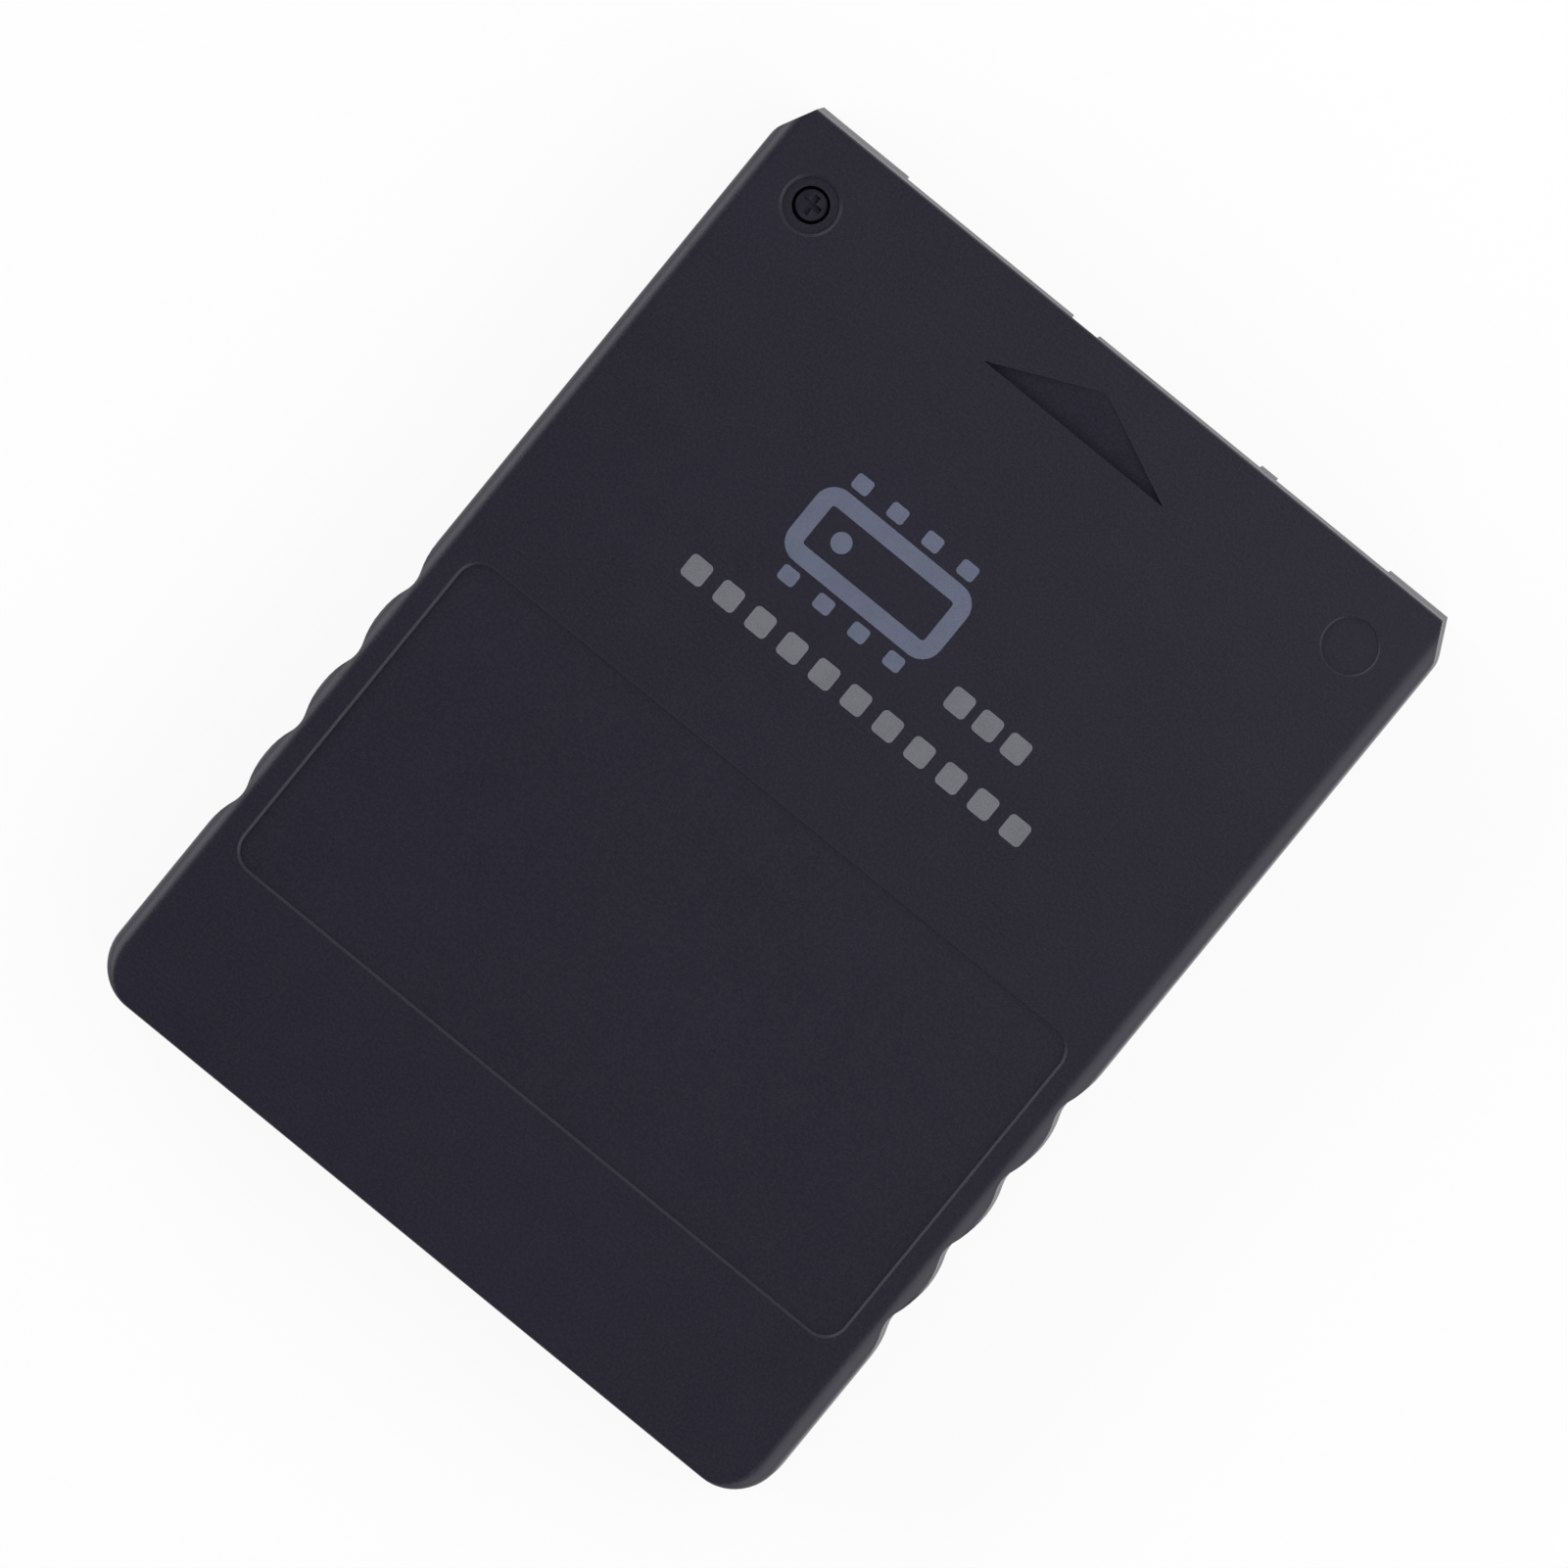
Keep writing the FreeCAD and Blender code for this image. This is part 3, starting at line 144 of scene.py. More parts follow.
class ShellFinish(bpy.types.PropertyGroup):
    """Moulded plastic of the two shells."""

    plastic: colour("Plastic", "Colour of the moulded shells", (0.0100, 0.0086, 0.0196))
    rubbed: colour("Rubbed plastic", "Colour where hands have rubbed the edges", (0.0190, 0.0180, 0.0280))
    roughness: share("Roughness", "Roughness of the spark-eroded surface", 0.43)
    grain: length("Grain", "Width of the surface's grain", 0.16 * MM)
    fine_grain: length("Fine grain", "Width of the finest grain", 0.072 * MM)
    grain_depth: length("Grain depth", "Depth of the surface's grain", 0.006 * MM)
    cloud: length("Cloud", "Width of the slow clouds of tone", 9.0 * MM)
    patch: length("Patch", "Width of the patches that hands have rubbed", 2.2 * MM)
    edge: length("Rubbed edge", "Width of the rubbed strip along the sides", 1.1 * MM)
    rear_edge: length("Rubbed rear", "Width of the rubbed strip along the rear", 0.55 * MM)
    tone_swing: share("Tone swing", "How far a cloud lightens or darkens the plastic", 0.14)
    speckle: share("Speckle", "How far the grain's tips take the rubbed colour", 0.30)
    wear: share("Wear", "How far rubbed edges take the rubbed colour", 0.45)
    polish: share("Polish", "Roughness that rubbing takes off", 0.06)


class BoardFinish(bpy.types.PropertyGroup):
    """Metals, resins and ceramics of the screw, the board and its parts."""

    screw: colour("Screw", "Blackened steel of the screw", (0.078, 0.074, 0.104))
    mask: colour("Solder mask", "Lacquer on the circuit board", (0.012, 0.075, 0.030))
    gold: colour("Contacts", "Plating of the contacts", (0.78, 0.53, 0.20))
    resin: colour("Chips", "Moulded resin of the chips", (0.020, 0.020, 0.021))
    tin: colour("Leads", "Tinned leads and ends", (0.58, 0.58, 0.56))
    ceramic: colour("Crystal base", "Pale ceramic", (0.60, 0.57, 0.50))
    lid: colour("Crystal lid", "Plated steel", (0.55, 0.54, 0.50))
    ochre: colour("Bulk capacitor", "Ochre resin", (0.50, 0.26, 0.05))
    tan: colour("Small capacitors", "Tan ceramic", (0.36, 0.25, 0.15))
    dark: colour("Small resistors", "Dark ceramic", (0.03, 0.03, 0.032))


class PrintLayout(bpy.types.PropertyGroup):
    """Plain shapes printed on the face."""

    ink: colour("Large ink", "Ink of the chip sign", (0.112, 0.124, 0.186))
    pale_ink: colour("Small ink", "Ink of the blocks", (0.150, 0.150, 0.172))
    film: length("Film", "Thickness of the ink above the face", 0.006 * MM)
    sign_x: length("Sign across", "Middle of the chip sign, across the card", -3.12 * MM)
    sign_y: length("Sign along", "Middle of the chip sign, along the card", 12.17 * MM)
    sign_width: length("Sign width", "Width of the chip sign's outline", 9.6 * MM)
    sign_length: length("Sign length", "Length of the chip sign over its pins", 6.65 * MM)
    stroke: length("Stroke", "Width of the chip sign's outline", 0.95 * MM)
    pin_width: length("Pin width", "Width of a pin of the chip sign", 1.0 * MM)
    pin_length: length("Pin length", "Length of a pin of the chip sign", 0.85 * MM)
    pin_gap: length("Pin gap", "From a pin to the outline", 0.3 * MM)
    pins: bpy.props.IntProperty(name="Pins", description="Pins on one side of the sign", default=4, min=1)
    dot: length("Dot", "Diameter of the dot in the chip sign", 1.1 * MM)
    block: length("Block", "Side of a small block", 1.3 * MM)
    row_y: length("Row along", "Middle of the row of blocks, along the card", 6.6 * MM)
    row_width: length("Row width", "Width of the row of blocks", 21.6 * MM)
    row_count: bpy.props.IntProperty(name="Row", description="Blocks in the row", default=11, min=2)
    group_x: length("Group across", "Middle of the short group, across the card", 5.85 * MM)
    group_y: length("Group along", "Middle of the short group, along the card", 9.75 * MM)
    group_width: length("Group width", "Width of the short group of blocks", 4.9 * MM)
    group_count: bpy.props.IntProperty(name="Group", description="Blocks in the group", default=3, min=2)


class StudioSetup(bpy.types.PropertyGroup):
    """Floor, light and camera."""

    floor: colour("Floor", "Colour of the floor", (0.90, 0.90, 0.90))
    backdrop: colour("Backdrop", "Colour that the camera sees behind the card", (1.0, 1.0, 1.0))
    backdrop_rise: angle("Backdrop rise", "Top of the backdrop that reflections see", 6.0)
    floor_side: length("Floor side", "Side of the square floor", 6.0)
    floor_drop: length("Floor drop", "Floor below the card's base", 0.03 * MM)
    shadow: share("Shadow", "Share of the floor's own light that the camera sees", 0.10)
    fill: share("Fill", "Brightness of the light from all round", 0.03)
    nose_light: radiance("Nose light", "Radiance from the connector end", 0.8)
    right_light: radiance("Right light", "Radiance from the right", 1.5)
    left_light: radiance("Left light", "Radiance from the left", 2.5)
    rear_light: radiance("Rear light", "Radiance from the rear", 0.5)
    light_reach: length("Light reach", "From the card to a softbox", 0.60)
    light_width: length("Light width", "Width of a softbox", 1.05)
    light_height: length("Light height", "Height of a softbox", 0.46)
    light_rise: angle("Light rise", "Middle of a softbox above the horizon", 22.0)
    right_height: length("Right height", "Height of the softbox on the right", 0.70)
    right_rise: angle("Right rise", "Middle of the right softbox above the horizon", 31.0)
    left_height: length("Left height", "Height of the softbox on the left", 0.40)
    left_rise: angle("Left rise", "Middle of the left softbox above the horizon", 26.5)
    sheen_light: radiance("Sheen light", "Radiance of the small softbox overhead", 0.9)
    sheen_reach: length("Sheen reach", "From the card to the small softbox", 0.20)
    sheen_side: length("Sheen side", "Side of the small softbox", 0.13)
    sheen_rise: angle("Sheen rise", "The small softbox above the horizon", 62.0)
    sheen_turn: angle("Sheen turn", "Azimuth of the small softbox, from the right side", 60.0)
    view_width: length("View width", "Width of the picture at the face", 77.45 * MM)
    view_distance: length("View distance", "From the face to the camera", 2.4)
    view_turn: angle("View turn", "Turn of the card in the picture", 39.30)
    lean_right: angle("Lean right", "Camera's lean towards the right side", 1.1)
    lean_nose: angle("Lean to nose", "Camera's lean towards the connector end", 2.9)
    aim_x: length("Aim across", "Middle of the picture, across the card", -0.14 * MM)
    aim_y: length("Aim along", "Middle of the picture, along the card", 1.15 * MM)


# Shader values and finishes

class Shade:
    """A shader socket. Arithmetic on it adds Math nodes to its tree."""

    def __init__(self, paint, socket):
        self.paint = paint
        self.socket = socket

    def __add__(self, other):
        return self.paint.math("ADD", self, other)

    def __radd__(self, other):
        return self.paint.math("ADD", other, self)

    def __sub__(self, other):
        return self.paint.math("SUBTRACT", self, other)

    def __rsub__(self, other):
        return self.paint.math("SUBTRACT", other, self)

    def __mul__(self, other):
        return self.paint.math("MULTIPLY", self, other)

    def __rmul__(self, other):
        return self.paint.math("MULTIPLY", other, self)

    def __abs__(self):
        return self.paint.math("ABSOLUTE", self)


class Paint:
    """The node tree of one material or of the world."""

    def __init__(self, owner):
        owner.use_nodes = True
        self.owner = owner
        self.tree = owner.node_tree
        self.tree.nodes.clear()

    def node(self, kind, settings=None, inputs=None, output=0):
        """Add a node: its settings first, then the values or links of its sockets."""
        made = self.tree.nodes.new(kind)
        for name, setting in (settings or {}).items():
            setattr(made, name, setting)
        for name, given in (inputs or {}).items():
            socket = made.inputs[name]
            if isinstance(given, Shade):
                self.tree.links.new(given.socket, socket)
            elif socket.type == "RGBA":
                socket.default_value = (*given, 1.0)
            else:
                socket.default_value = given
        return Shade(self, made.outputs[output]) if made.outputs else made

    def math(self, operation, *values):
        """Join values by a Math node."""
        return self.node("ShaderNodeMath", {"operation": operation}, dict(enumerate(values)))

    def place(self):
        """Read the point's place on the card, in metres."""
        return self.node("ShaderNodeTexCoord", output="Object")

    def axis(self, place, name):
        """Take one of a place's three distances."""
        return self.node("ShaderNodeSeparateXYZ", None, {"Vector": place}, name)

    def drawn_out(self, place, scale):
        """Scale a place along Y, to draw a pattern out along the card."""
        return self.node("ShaderNodeMapping", None, {"Vector": place, "Scale": (1.0, scale, 1.0)})

    def noise(self, place, width, detail=2.0):
        """Make soft noise from 0 to 1 with features of a given width."""
        inputs = {"Vector": place, "Scale": 1.0 / width, "Detail": detail}
        return self.node("ShaderNodeTexNoise", {"noise_dimensions": "3D"}, inputs, "Fac")

    def between(self, value, low, high):
        """Rise smoothly from 0 at one value to 1 at another."""
        inputs = {"Value": value, "From Min": low, "From Max": high}
        return self.node("ShaderNodeMapRange", {"interpolation_type": "SMOOTHSTEP"}, inputs)

    def mix(self, factor, first, second):
        """Blend two colours."""
        return self.node("ShaderNodeMix", {"data_type": "RGBA"}, {0: factor, 6: first, 7: second}, 2)

    def shades(self, factor, tone, first, second):
        """Blend two shades of one tone, each given as a multiple of it."""
        return self.mix(factor, multiple(tone, first), multiple(tone, second))

    def bump(self, height, depth):
        """Turn a height from 0 to 1 into a bent normal."""
        inputs = {"Height": height, "Distance": depth, "Strength": 1.0}
        return self.node("ShaderNodeBump", None, inputs, "Normal")

    def surface(self, **inputs):
        """End the tree in a surface with these inputs, spaces written as underscores."""
        named = {name.replace("_", " "): given for name, given in inputs.items()}
        shader = self.node("ShaderNodeBsdfPrincipled", None, named)
        self.node("ShaderNodeOutputMaterial", None, {"Surface": shader})
        return self.owner


def new_paint(name):
    """Start a material."""
    return Paint(bpy.data.materials.new(name))


def multiple(tone, factor):
    """Scale a colour, for a shade of the same hue."""
    return tuple(min(1.0, channel * factor) for channel in tone)


def swing(noise, amount):
    """Swing noise to either side of nothing, by an amount for its whole range."""
    return amount * (noise - NOISE_MIDDLE)


def shell_plastic(finish):
    """Black moulded plastic: fine eroded grain, slow clouds and sides rubbed smooth by hands."""
    paint = new_paint("shell_plastic")
    place = paint.place()
    x = paint.axis(place, "X")
    y = paint.axis(place, "Y")
    grain = paint.noise(place, finish.grain, detail=1.0)
    fine = paint.noise(place, finish.fine_grain, detail=0.0)
    cloud = paint.noise(place, finish.cloud, detail=3.0)
    patch = paint.noise(place, finish.patch)
    side = paint.between(abs(x), cad_high.x - finish.edge, cad_high.x)
    rear = paint.between(y, cad_low.y + finish.rear_edge, cad_low.y)
    rubbed = (side + rear) * paint.between(patch, *RUBBED_PATCHES)
    base = paint.shades(cloud, finish.plastic, 1.0 - finish.tone_swing, 1.0 + finish.tone_swing)
    tips = paint.between(grain, *GRAIN_TIPS)
    speckled = paint.mix(finish.speckle * tips, base, finish.rubbed)
    worn = paint.mix(finish.wear * rubbed, speckled, finish.rubbed)
    uneven = swing(patch, 0.05) + swing(grain, 0.08)
    roughness = finish.roughness + uneven - finish.polish * rubbed
    height = 0.7 * grain + 0.3 * fine
    return paint.surface(
        Base_Color=worn,
        Roughness=roughness,
        Specular_IOR_Level=0.42,
        Normal=paint.bump(height, finish.grain_depth),
    )


def turned_steel(name, tone, roughness):
    """Plated steel with fine scratches and a dull, uneven film."""
    paint = new_paint(name)
    place = paint.place()
    scratch = paint.noise(paint.drawn_out(place, SCRATCH_STRETCH), SCRATCH_WIDTH)
    film = paint.noise(place, FILM_WIDTH)
    return paint.surface(
        Base_Color=paint.shades(film, tone, 0.75, 1.25),
        Metallic=1.0,
        Roughness=roughness + swing(film, 0.22) + swing(scratch, 0.10),
        Normal=paint.bump(scratch, SCRATCH_DEPTH),
    )


def plated_gold(tone):
    """Gold plating that mating contacts have scored along the card."""
    paint = new_paint("contact_gold")
    place = paint.place()
    score = paint.noise(paint.drawn_out(place, SCORE_STRETCH), SCORE_WIDTH, detail=3.0)
    haze = paint.noise(place, HAZE_WIDTH)
    return paint.surface(
        Base_Color=paint.shades(haze, tone, 0.82, 1.12),
        Metallic=1.0,
        Roughness=0.24 + 0.16 * score + 0.10 * haze,
        Normal=paint.bump(score, SCORE_DEPTH),
    )


def lacquered_laminate(tone):
    """Circuit board: green lacquer over a glass weave, raised a little over copper."""
    paint = new_paint("board_laminate")
    place = paint.place()
    x = paint.axis(place, "X")
    y = paint.axis(place, "Y")
    thread = math.tau / THREAD_PITCH
    track = math.tau / TRACK_PITCH
    weave = paint.math("SINE", thread * x) * paint.math("SINE", thread * y)
    copper = paint.between(paint.math("SINE", track * x), *COPPER_TRACKS)
    cloud = paint.noise(place, LACQUER_CLOUD)
    return paint.surface(
        Base_Color=paint.shades(0.35 * copper + 0.30 * cloud, tone, 0.85, 1.7),
        Roughness=0.30 + 0.12 * cloud,
        Normal=paint.bump(copper + 0.25 * weave, LACQUER_RELIEF),
    )


def moulded_resin(name, tone, roughness):
    """Moulded or fired body: a fine sandy grain and slow clouds of tone."""
    paint = new_paint(name)
    place = paint.place()
    sand = paint.noise(place, SAND_WIDTH)
    cloud = paint.noise(place, RESIN_CLOUD)
    return paint.surface(
        Base_Color=paint.shades(0.5 * sand + 0.5 * cloud, tone, 0.75, 1.25),
        Roughness=roughness + swing(sand, 0.14),
        Normal=paint.bump(sand, SAND_DEPTH),
    )


def screen_ink(name, tone):
    """Screen-printed ink: thin over the grain of the plastic, a little uneven."""
    paint = new_paint(name)
    place = paint.place()
    screen = paint.noise(place, SCREEN_WIDTH)
    cover = paint.noise(place, COVER_WIDTH, detail=3.0)
    thin = paint.between(0.45 * screen + 0.55 * cover, *THIN_INK)
    return paint.surface(
        Base_Color=paint.shades(0.30 * thin, tone, 1.0, 0.55),
        Roughness=0.62 + swing(screen, 0.14),
        Specular_IOR_Level=0.35,
        Normal=paint.bump(screen, SCREEN_DEPTH),
    )


def dress(names, material):
    """Give CAD nodes a material."""
    for name in names:
        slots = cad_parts[name].data.materials
        slots.clear()
        slots.append(material)


# Printed shapes

def rounded_path(width, length_along, radius, steps=8):
    """Trace a rounded rectangle: each corner's middle plus the radius times (cos t, sin t).

    The angle t runs through a quarter turn at each corner, and the straight sides join
    the ends of the quarter turns. Gives the points and the outward directions.
    """
    quarter = np.repeat(np.arange(4), steps)
    turn = (quarter + np.tile(np.linspace(0.0, 1.0, steps), 4)) * math.pi / 2
    outward = np.stack([np.cos(turn), np.sin(turn)], axis=1)
    corner_signs = np.array([[1, 1], [-1, 1], [-1, -1], [1, -1]])
    middles = corner_signs[quarter] * (np.array([width, length_along]) / 2 - radius)
    return middles + radius * outward, outward


def band(width, length_along, radius, stroke, low, high):
    """Carry a flat section along a rounded rectangle: point plus offset times the outward direction.

    The section's four corners lie half a stroke to either side, at two heights.
    """
    points, outward = rounded_path(width - stroke, length_along - stroke, radius - stroke / 2)
    offsets = np.array([-0.5, 0.5, 0.5, -0.5]) * stroke
    heights = np.array([low, low, high, high])
    flat = points[:, None, :] + offsets[None, :, None] * outward[:, None, :]
    lift = np.broadcast_to(heights[None, :, None], (len(points), 4, 1))
    grid = np.concatenate([flat, lift], axis=2)
    rows = np.arange(len(points))[:, None]
    columns = np.arange(4)[None, :]
    next_row = (rows + 1) % len(points)
    next_column = (columns + 1) % 4
    near = (rows * 4 + columns, rows * 4 + next_column)
    far = (next_row * 4 + columns, next_row * 4 + next_column)
    quads = np.stack([near[0], far[0], far[1], near[1]], axis=2)
    return grid.reshape(-1, 3), quads.reshape(-1, 4)


def plate(width, length_along, radius, low, high):
    """Raise a rounded rectangle between two heights: two copies of its outline, joined by walls."""
    points = rounded_path(width, length_along, radius)[0]
    count = len(points)
    below = np.column_stack([points, np.full(count, low)])
    above = np.column_stack([points, np.full(count, high)])
    start = np.arange(count)
    following = (start + 1) % count
    walls = np.stack([start, following, following + count, start + count], axis=1)
    caps = np.stack([start[::-1], start + count])
    return np.concatenate([below, above]), walls, caps


def shifted(shape, x, y):
    """Move a shape across the card."""
    points, *faces = shape
    return points + np.array([x, y, 0.0]), *faces


def even_places(middle, overall, piece, count):
    """Space the middles of like pieces evenly over an overall width."""
    return middle + np.linspace(-0.5, 0.5, count) * (overall - piece)


def printed_piece(name, shapes, material):
    """Put shapes into one mesh that lies on the face and moves with the card."""
    points = []
    faces = []
    for shape_points, *shape_faces in shapes:
        for like_faces in shape_faces:
            faces += (like_faces + len(points)).tolist()
        points += shape_points.tolist()
    mesh = bpy.data.meshes.new(name)
    mesh.from_pydata(points, [], faces)
    mesh.validate()
    mesh.materials.append(material)
    piece = bpy.data.objects.new(name, mesh)
    bpy.context.scene.collection.objects.link(piece)
    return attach(piece, BODY)


def film_heights(layout):
    """Give the ink's two heights: just under the face and just over it."""
    return cad_high.z - layout.film, cad_high.z + layout.film


# Operators

class CARD_OT_finish_shells(bpy.types.Operator):
    """Give both shells their moulded plastic"""

    bl_idname = "card.finish_shells"
    bl_label = "Finish shells"

    def execute(self, context):
        dress(SHELLS, shell_plastic(context.scene.card_shells))
        return {"FINISHED"}


class CARD_OT_finish_screw(bpy.types.Operator):
    """Give the screw its blackened steel"""

    bl_idname = "card.finish_screw"
    bl_label = "Finish screw"

    def execute(self, context):
        tone = context.scene.card_board.screw
        dress(("case_screw",), turned_steel("screw_steel", tone, roughness=0.40))
        return {"FINISHED"}


class CARD_OT_finish_board(bpy.types.Operator):
    """Give the circuit board and its contacts their lacquer and plating"""

    bl_idname = "card.finish_board"
    bl_label = "Finish board"

    def execute(self, context):
        board = context.scene.card_board
        dress(("circuit_board",), lacquered_laminate(board.mask))
        dress(("contact_fingers",), plated_gold(board.gold))
        return {"FINISHED"}


class CARD_OT_finish_parts(bpy.types.Operator):
    """Give the chips and the small parts on the board their resin, ceramic and tin"""

    bl_idname = "card.finish_parts"
    bl_label = "Finish parts on the board"

    def execute(self, context):
        board = context.scene.card_board
        dress(CHIPS, moulded_resin("chip_resin", board.resin, roughness=0.50))
        dress(TINNED, turned_steel("lead_tin", board.tin, roughness=0.34))
        dress(("crystal_base",), moulded_resin("pale_ceramic", board.ceramic, roughness=0.45))
        dress(("crystal_lid",), turned_steel("lid_steel", board.lid, roughness=0.30))
        dress(("bulk_capacitor",), moulded_resin("ochre_resin", board.ochre, roughness=0.48))
        dress(("ceramic_capacitors",), moulded_resin("tan_ceramic", board.tan, roughness=0.50))
        dress(("chip_resistors",), moulded_resin("dark_ceramic", board.dark, roughness=0.40))
        return {"FINISHED"}


class CARD_OT_print_sign(bpy.types.Operator):
    """Print the chip sign: a rounded outline with a row of pins on two sides and a dot"""

    bl_idname = "card.print_sign"
    bl_label = "Print chip sign"

    def execute(self, context):
        layout = context.scene.card_print
        low, high = film_heights(layout)
        outline_length = layout.sign_length - 2 * (layout.pin_length + layout.pin_gap)
        corner = SIGN_CORNER * layout.stroke
        outline = band(layout.sign_width, outline_length, corner, layout.stroke, low, high)
        shapes = [shifted(outline, layout.sign_x, layout.sign_y)]
        pin = plate(layout.pin_width, layout.pin_length, BLOCK_CORNER * layout.pin_width, low, high)
        pin_span = layout.sign_width - 2 * layout.stroke
        pin_offset = (layout.sign_length - layout.pin_length) / 2
        for x in even_places(layout.sign_x, pin_span, layout.pin_width, layout.pins):
            shapes.append(shifted(pin, x, layout.sign_y + pin_offset))
            shapes.append(shifted(pin, x, layout.sign_y - pin_offset))
        dot = plate(layout.dot, layout.dot, layout.dot / 2, low, high)
        dot_x = layout.sign_x - layout.sign_width / 2 + 2 * layout.stroke + layout.dot / 2
        shapes.append(shifted(dot, dot_x, layout.sign_y))
        printed_piece("printed_chip_sign", shapes, screen_ink("sign_ink", layout.ink))
        return {"FINISHED"}


class CARD_OT_print_blocks(bpy.types.Operator):
    """Print the row of small blocks and the short group beside the sign"""

    bl_idname = "card.print_blocks"
    bl_label = "Print blocks"

    def execute(self, context):
        layout = context.scene.card_print
        low, high = film_heights(layout)
        block = plate(layout.block, layout.block, BLOCK_CORNER * layout.block, low, high)
        row = even_places(0.0, layout.row_width, layout.block, layout.row_count)
        group = even_places(layout.group_x, layout.group_width, layout.block, layout.group_count)
        shapes = [shifted(block, x, layout.row_y) for x in row]
        shapes += [shifted(block, x, layout.group_y) for x in group]
        printed_piece("printed_blocks", shapes, screen_ink("block_ink", layout.pale_ink))
        return {"FINISHED"}


def lay_floor(studio):
    """Lay a pale floor just under the card, whose shadow it keeps."""
    half = studio.floor_side / 2
    level = cad_low.z - studio.floor_drop
    corners = [(-half, -half, level), (half, -half, level), (half, half, level), (-half, half, level)]
    mesh = bpy.data.meshes.new("floor")
    mesh.from_pydata(corners, [], [(0, 1, 2, 3)])
    paint = new_paint("floor")
    camera, mirrored = ray_kinds(paint)
    dust = paint.noise(paint.place(), FLOOR_DUST)
    tone = paint.shades(dust, studio.floor, 0.99, 1.01)
    lit = paint.node("ShaderNodeBsdfDiffuse", None, {"Color": tone})
    glow = paint.node("ShaderNodeEmission", None, {"Color": studio.backdrop})
    factor = paint.math("MAXIMUM", camera, mirrored) * (1.0 - studio.shadow)
    mixed = paint.node("ShaderNodeMixShader", None, {0: factor, 1: lit, 2: glow})
    paint.node("ShaderNodeOutputMaterial", None, {"Surface": mixed})
    mesh.materials.append(paint.owner)
    floor = bpy.data.objects.new("floor", mesh)
    bpy.context.scene.collection.objects.link(floor)


def ray_kinds(paint):
    """Tell rays from the camera, then rays in reflections and through clear things, as 1 or 0."""
    kinds = ("Is Camera Ray", "Is Glossy Ray", "Is Transmission Ray")
    camera, glossy, clear = [paint.node("ShaderNodeLightPath", output=kind) for kind in kinds]
    return camera, paint.math("MAXIMUM", glossy, clear)


def fill_world(studio):
    """Light the card dimly from all round, with a white backdrop for the camera.

    Reflections see the backdrop too, up to a low rise above the horizon.
    """
    world = bpy.data.worlds.new("studio")
    bpy.context.scene.world = world
    paint = Paint(world)
    camera, mirrored = ray_kinds(paint)
    direction = paint.node("ShaderNodeTexCoord", output="Generated")
    low = paint.between(paint.axis(direction, "Z"), math.sin(studio.backdrop_rise), 0.0)
    factor = paint.math("MAXIMUM", camera, low * mirrored)
    around = paint.node("ShaderNodeBackground", None, {"Color": (1.0, 1.0, 1.0), "Strength": studio.fill})
    behind = paint.node("ShaderNodeBackground", None, {"Color": studio.backdrop})
    mixed = paint.node("ShaderNodeMixShader", None, {0: factor, 1: around, 2: behind})
    paint.node("ShaderNodeOutputWorld", None, {"Surface": mixed})


def hang_softbox(name, azimuth, rise, reach, size, brightness):
    """Hang a softbox that faces the card, at an azimuth from +X towards +Y and a rise."""
    width, height = size
    light = bpy.data.lights.new(name, "AREA")
    light.shape = "RECTANGLE"
    light.size = width
    light.size_y = height
    light.energy = SOFTBOX_WATTS * brightness * width * height
    level = math.cos(rise)
    away = Vector((level * math.cos(azimuth), level * math.sin(azimuth), math.sin(rise)))
    box = bpy.data.objects.new(name, light)
    box.location = away * reach
    box.rotation_euler = away.to_track_quat("Z", "Y").to_euler()
    bpy.context.scene.collection.objects.link(box)


def stand_camera(studio):
    """Stand a long-lens camera above the face, turned and leaned as the card lies in the picture."""
    lens = bpy.data.cameras.new("camera")
    lens.sensor_width = 36.0
    lens.lens = lens.sensor_width * studio.view_distance / studio.view_width
    lens.clip_end = 10.0
    away = Vector((math.tan(studio.lean_right), math.tan(studio.lean_nose), 1.0)).normalized()
    right = Vector((math.cos(studio.view_turn), math.sin(studio.view_turn), 0.0))
    right = (right - away * right.dot(away)).normalized()
    turn = Matrix((right, away.cross(right), away)).transposed()
    camera = bpy.data.objects.new("camera", lens)
    aim = Vector((studio.aim_x, studio.aim_y, cad_high.z))
    camera.matrix_world = Matrix.Translation(aim + away * studio.view_distance) @ turn.to_4x4()
    bpy.context.scene.collection.objects.link(camera)
    bpy.context.scene.camera = camera


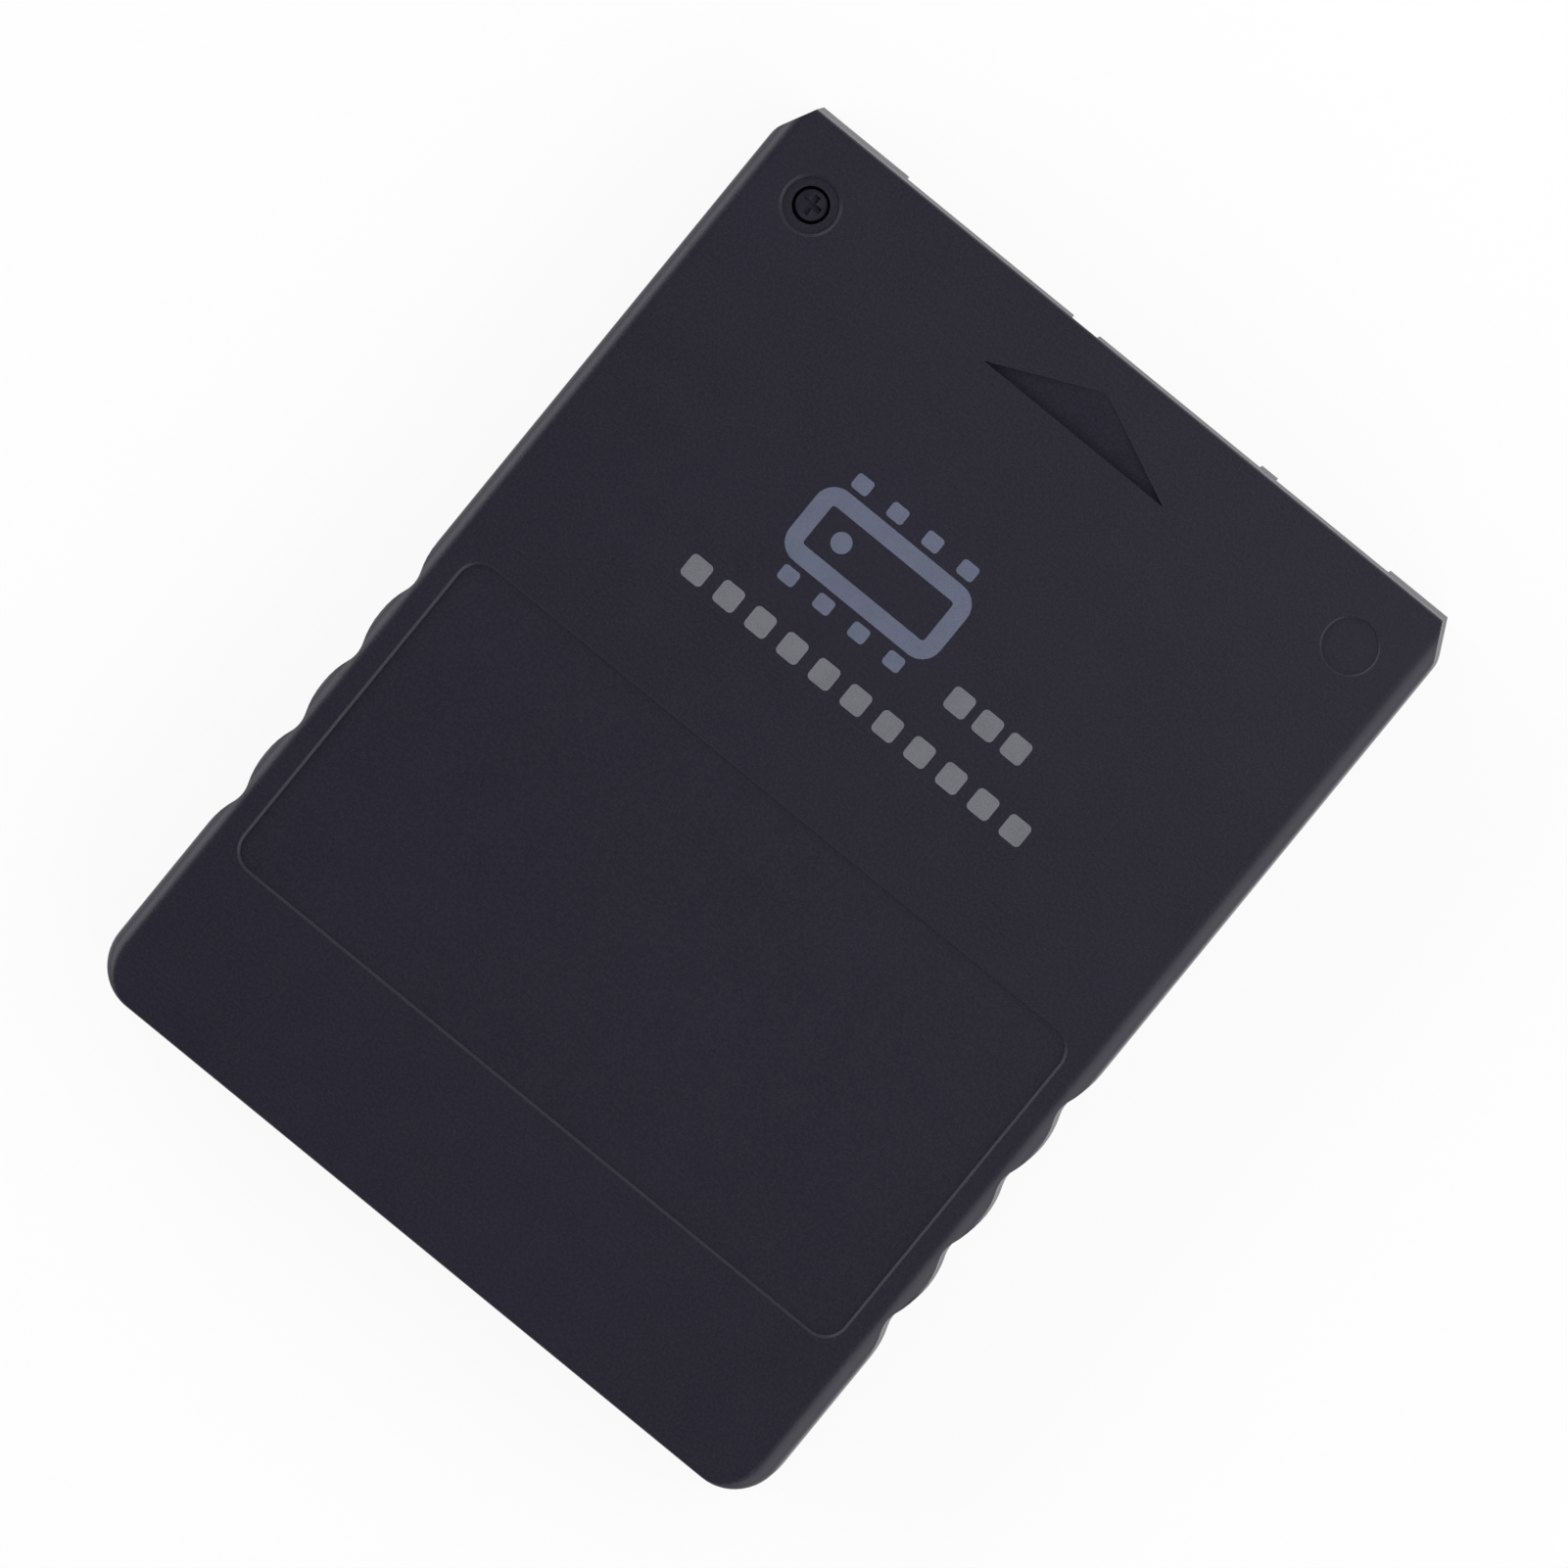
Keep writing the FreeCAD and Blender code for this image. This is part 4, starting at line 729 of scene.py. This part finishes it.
class CARD_OT_set_stage(bpy.types.Operator):
    """Lay the floor, hang the softboxes and stand the camera"""

    bl_idname = "card.set_stage"
    bl_label = "Set stage"

    def execute(self, context):
        studio = context.scene.card_studio
        lay_floor(studio)
        fill_world(studio)
        reach = studio.light_reach
        rise = studio.light_rise
        usual = (studio.light_width, studio.light_height)
        tall = (studio.light_width, studio.right_height)
        short = (studio.light_width, studio.left_height)
        small = (studio.sheen_side, studio.sheen_side)
        hang_softbox("right_light", 0.0, studio.right_rise, reach, tall, studio.right_light)
        hang_softbox("nose_light", math.pi / 2, rise, reach, usual, studio.nose_light)
        hang_softbox("left_light", math.pi, studio.left_rise, reach, short, studio.left_light)
        hang_softbox("rear_light", -math.pi / 2, rise, reach, usual, studio.rear_light)
        turn = studio.sheen_turn
        hang_softbox("sheen_light", turn, studio.sheen_rise, studio.sheen_reach, small, studio.sheen_light)
        stand_camera(studio)
        context.scene.view_settings.view_transform = "Standard"
        return {"FINISHED"}


class CARD_PT_sidebar(bpy.types.Panel):
    """Sidebar panel with the steps that dress the card"""

    bl_label = "Memory card"
    bl_idname = "CARD_PT_sidebar"
    bl_space_type = "VIEW_3D"
    bl_region_type = "UI"
    bl_category = "Memory card"

    def draw(self, context):
        for operator in OPERATORS:
            self.layout.operator(operator.bl_idname)
        for name in GROUPS:
            settings = getattr(context.scene, name)
            box = self.layout.box()
            for setting in settings.__annotations__:
                box.prop(settings, setting)


GROUPS = {
    "card_shells": ShellFinish,
    "card_board": BoardFinish,
    "card_print": PrintLayout,
    "card_studio": StudioSetup,
}
OPERATORS = (
    CARD_OT_finish_shells,
    CARD_OT_finish_screw,
    CARD_OT_finish_board,
    CARD_OT_finish_parts,
    CARD_OT_print_sign,
    CARD_OT_print_blocks,
    CARD_OT_set_stage,
)


def register():
    for group in GROUPS.values():
        bpy.utils.register_class(group)
    for name, group in GROUPS.items():
        setattr(bpy.types.Scene, name, bpy.props.PointerProperty(type=group))
    for operator in OPERATORS:
        bpy.utils.register_class(operator)
    bpy.utils.register_class(CARD_PT_sidebar)


def unregister():
    bpy.utils.unregister_class(CARD_PT_sidebar)
    for operator in reversed(OPERATORS):
        bpy.utils.unregister_class(operator)
    for name in GROUPS:
        delattr(bpy.types.Scene, name)
    for group in reversed(list(GROUPS.values())):
        bpy.utils.unregister_class(group)


def main():
    register()
    bpy.ops.card.finish_shells()
    bpy.ops.card.finish_screw()
    bpy.ops.card.finish_board()
    bpy.ops.card.finish_parts()
    bpy.ops.card.print_sign()
    bpy.ops.card.print_blocks()
    bpy.ops.card.set_stage()


if __name__ == "__main__":
    main()
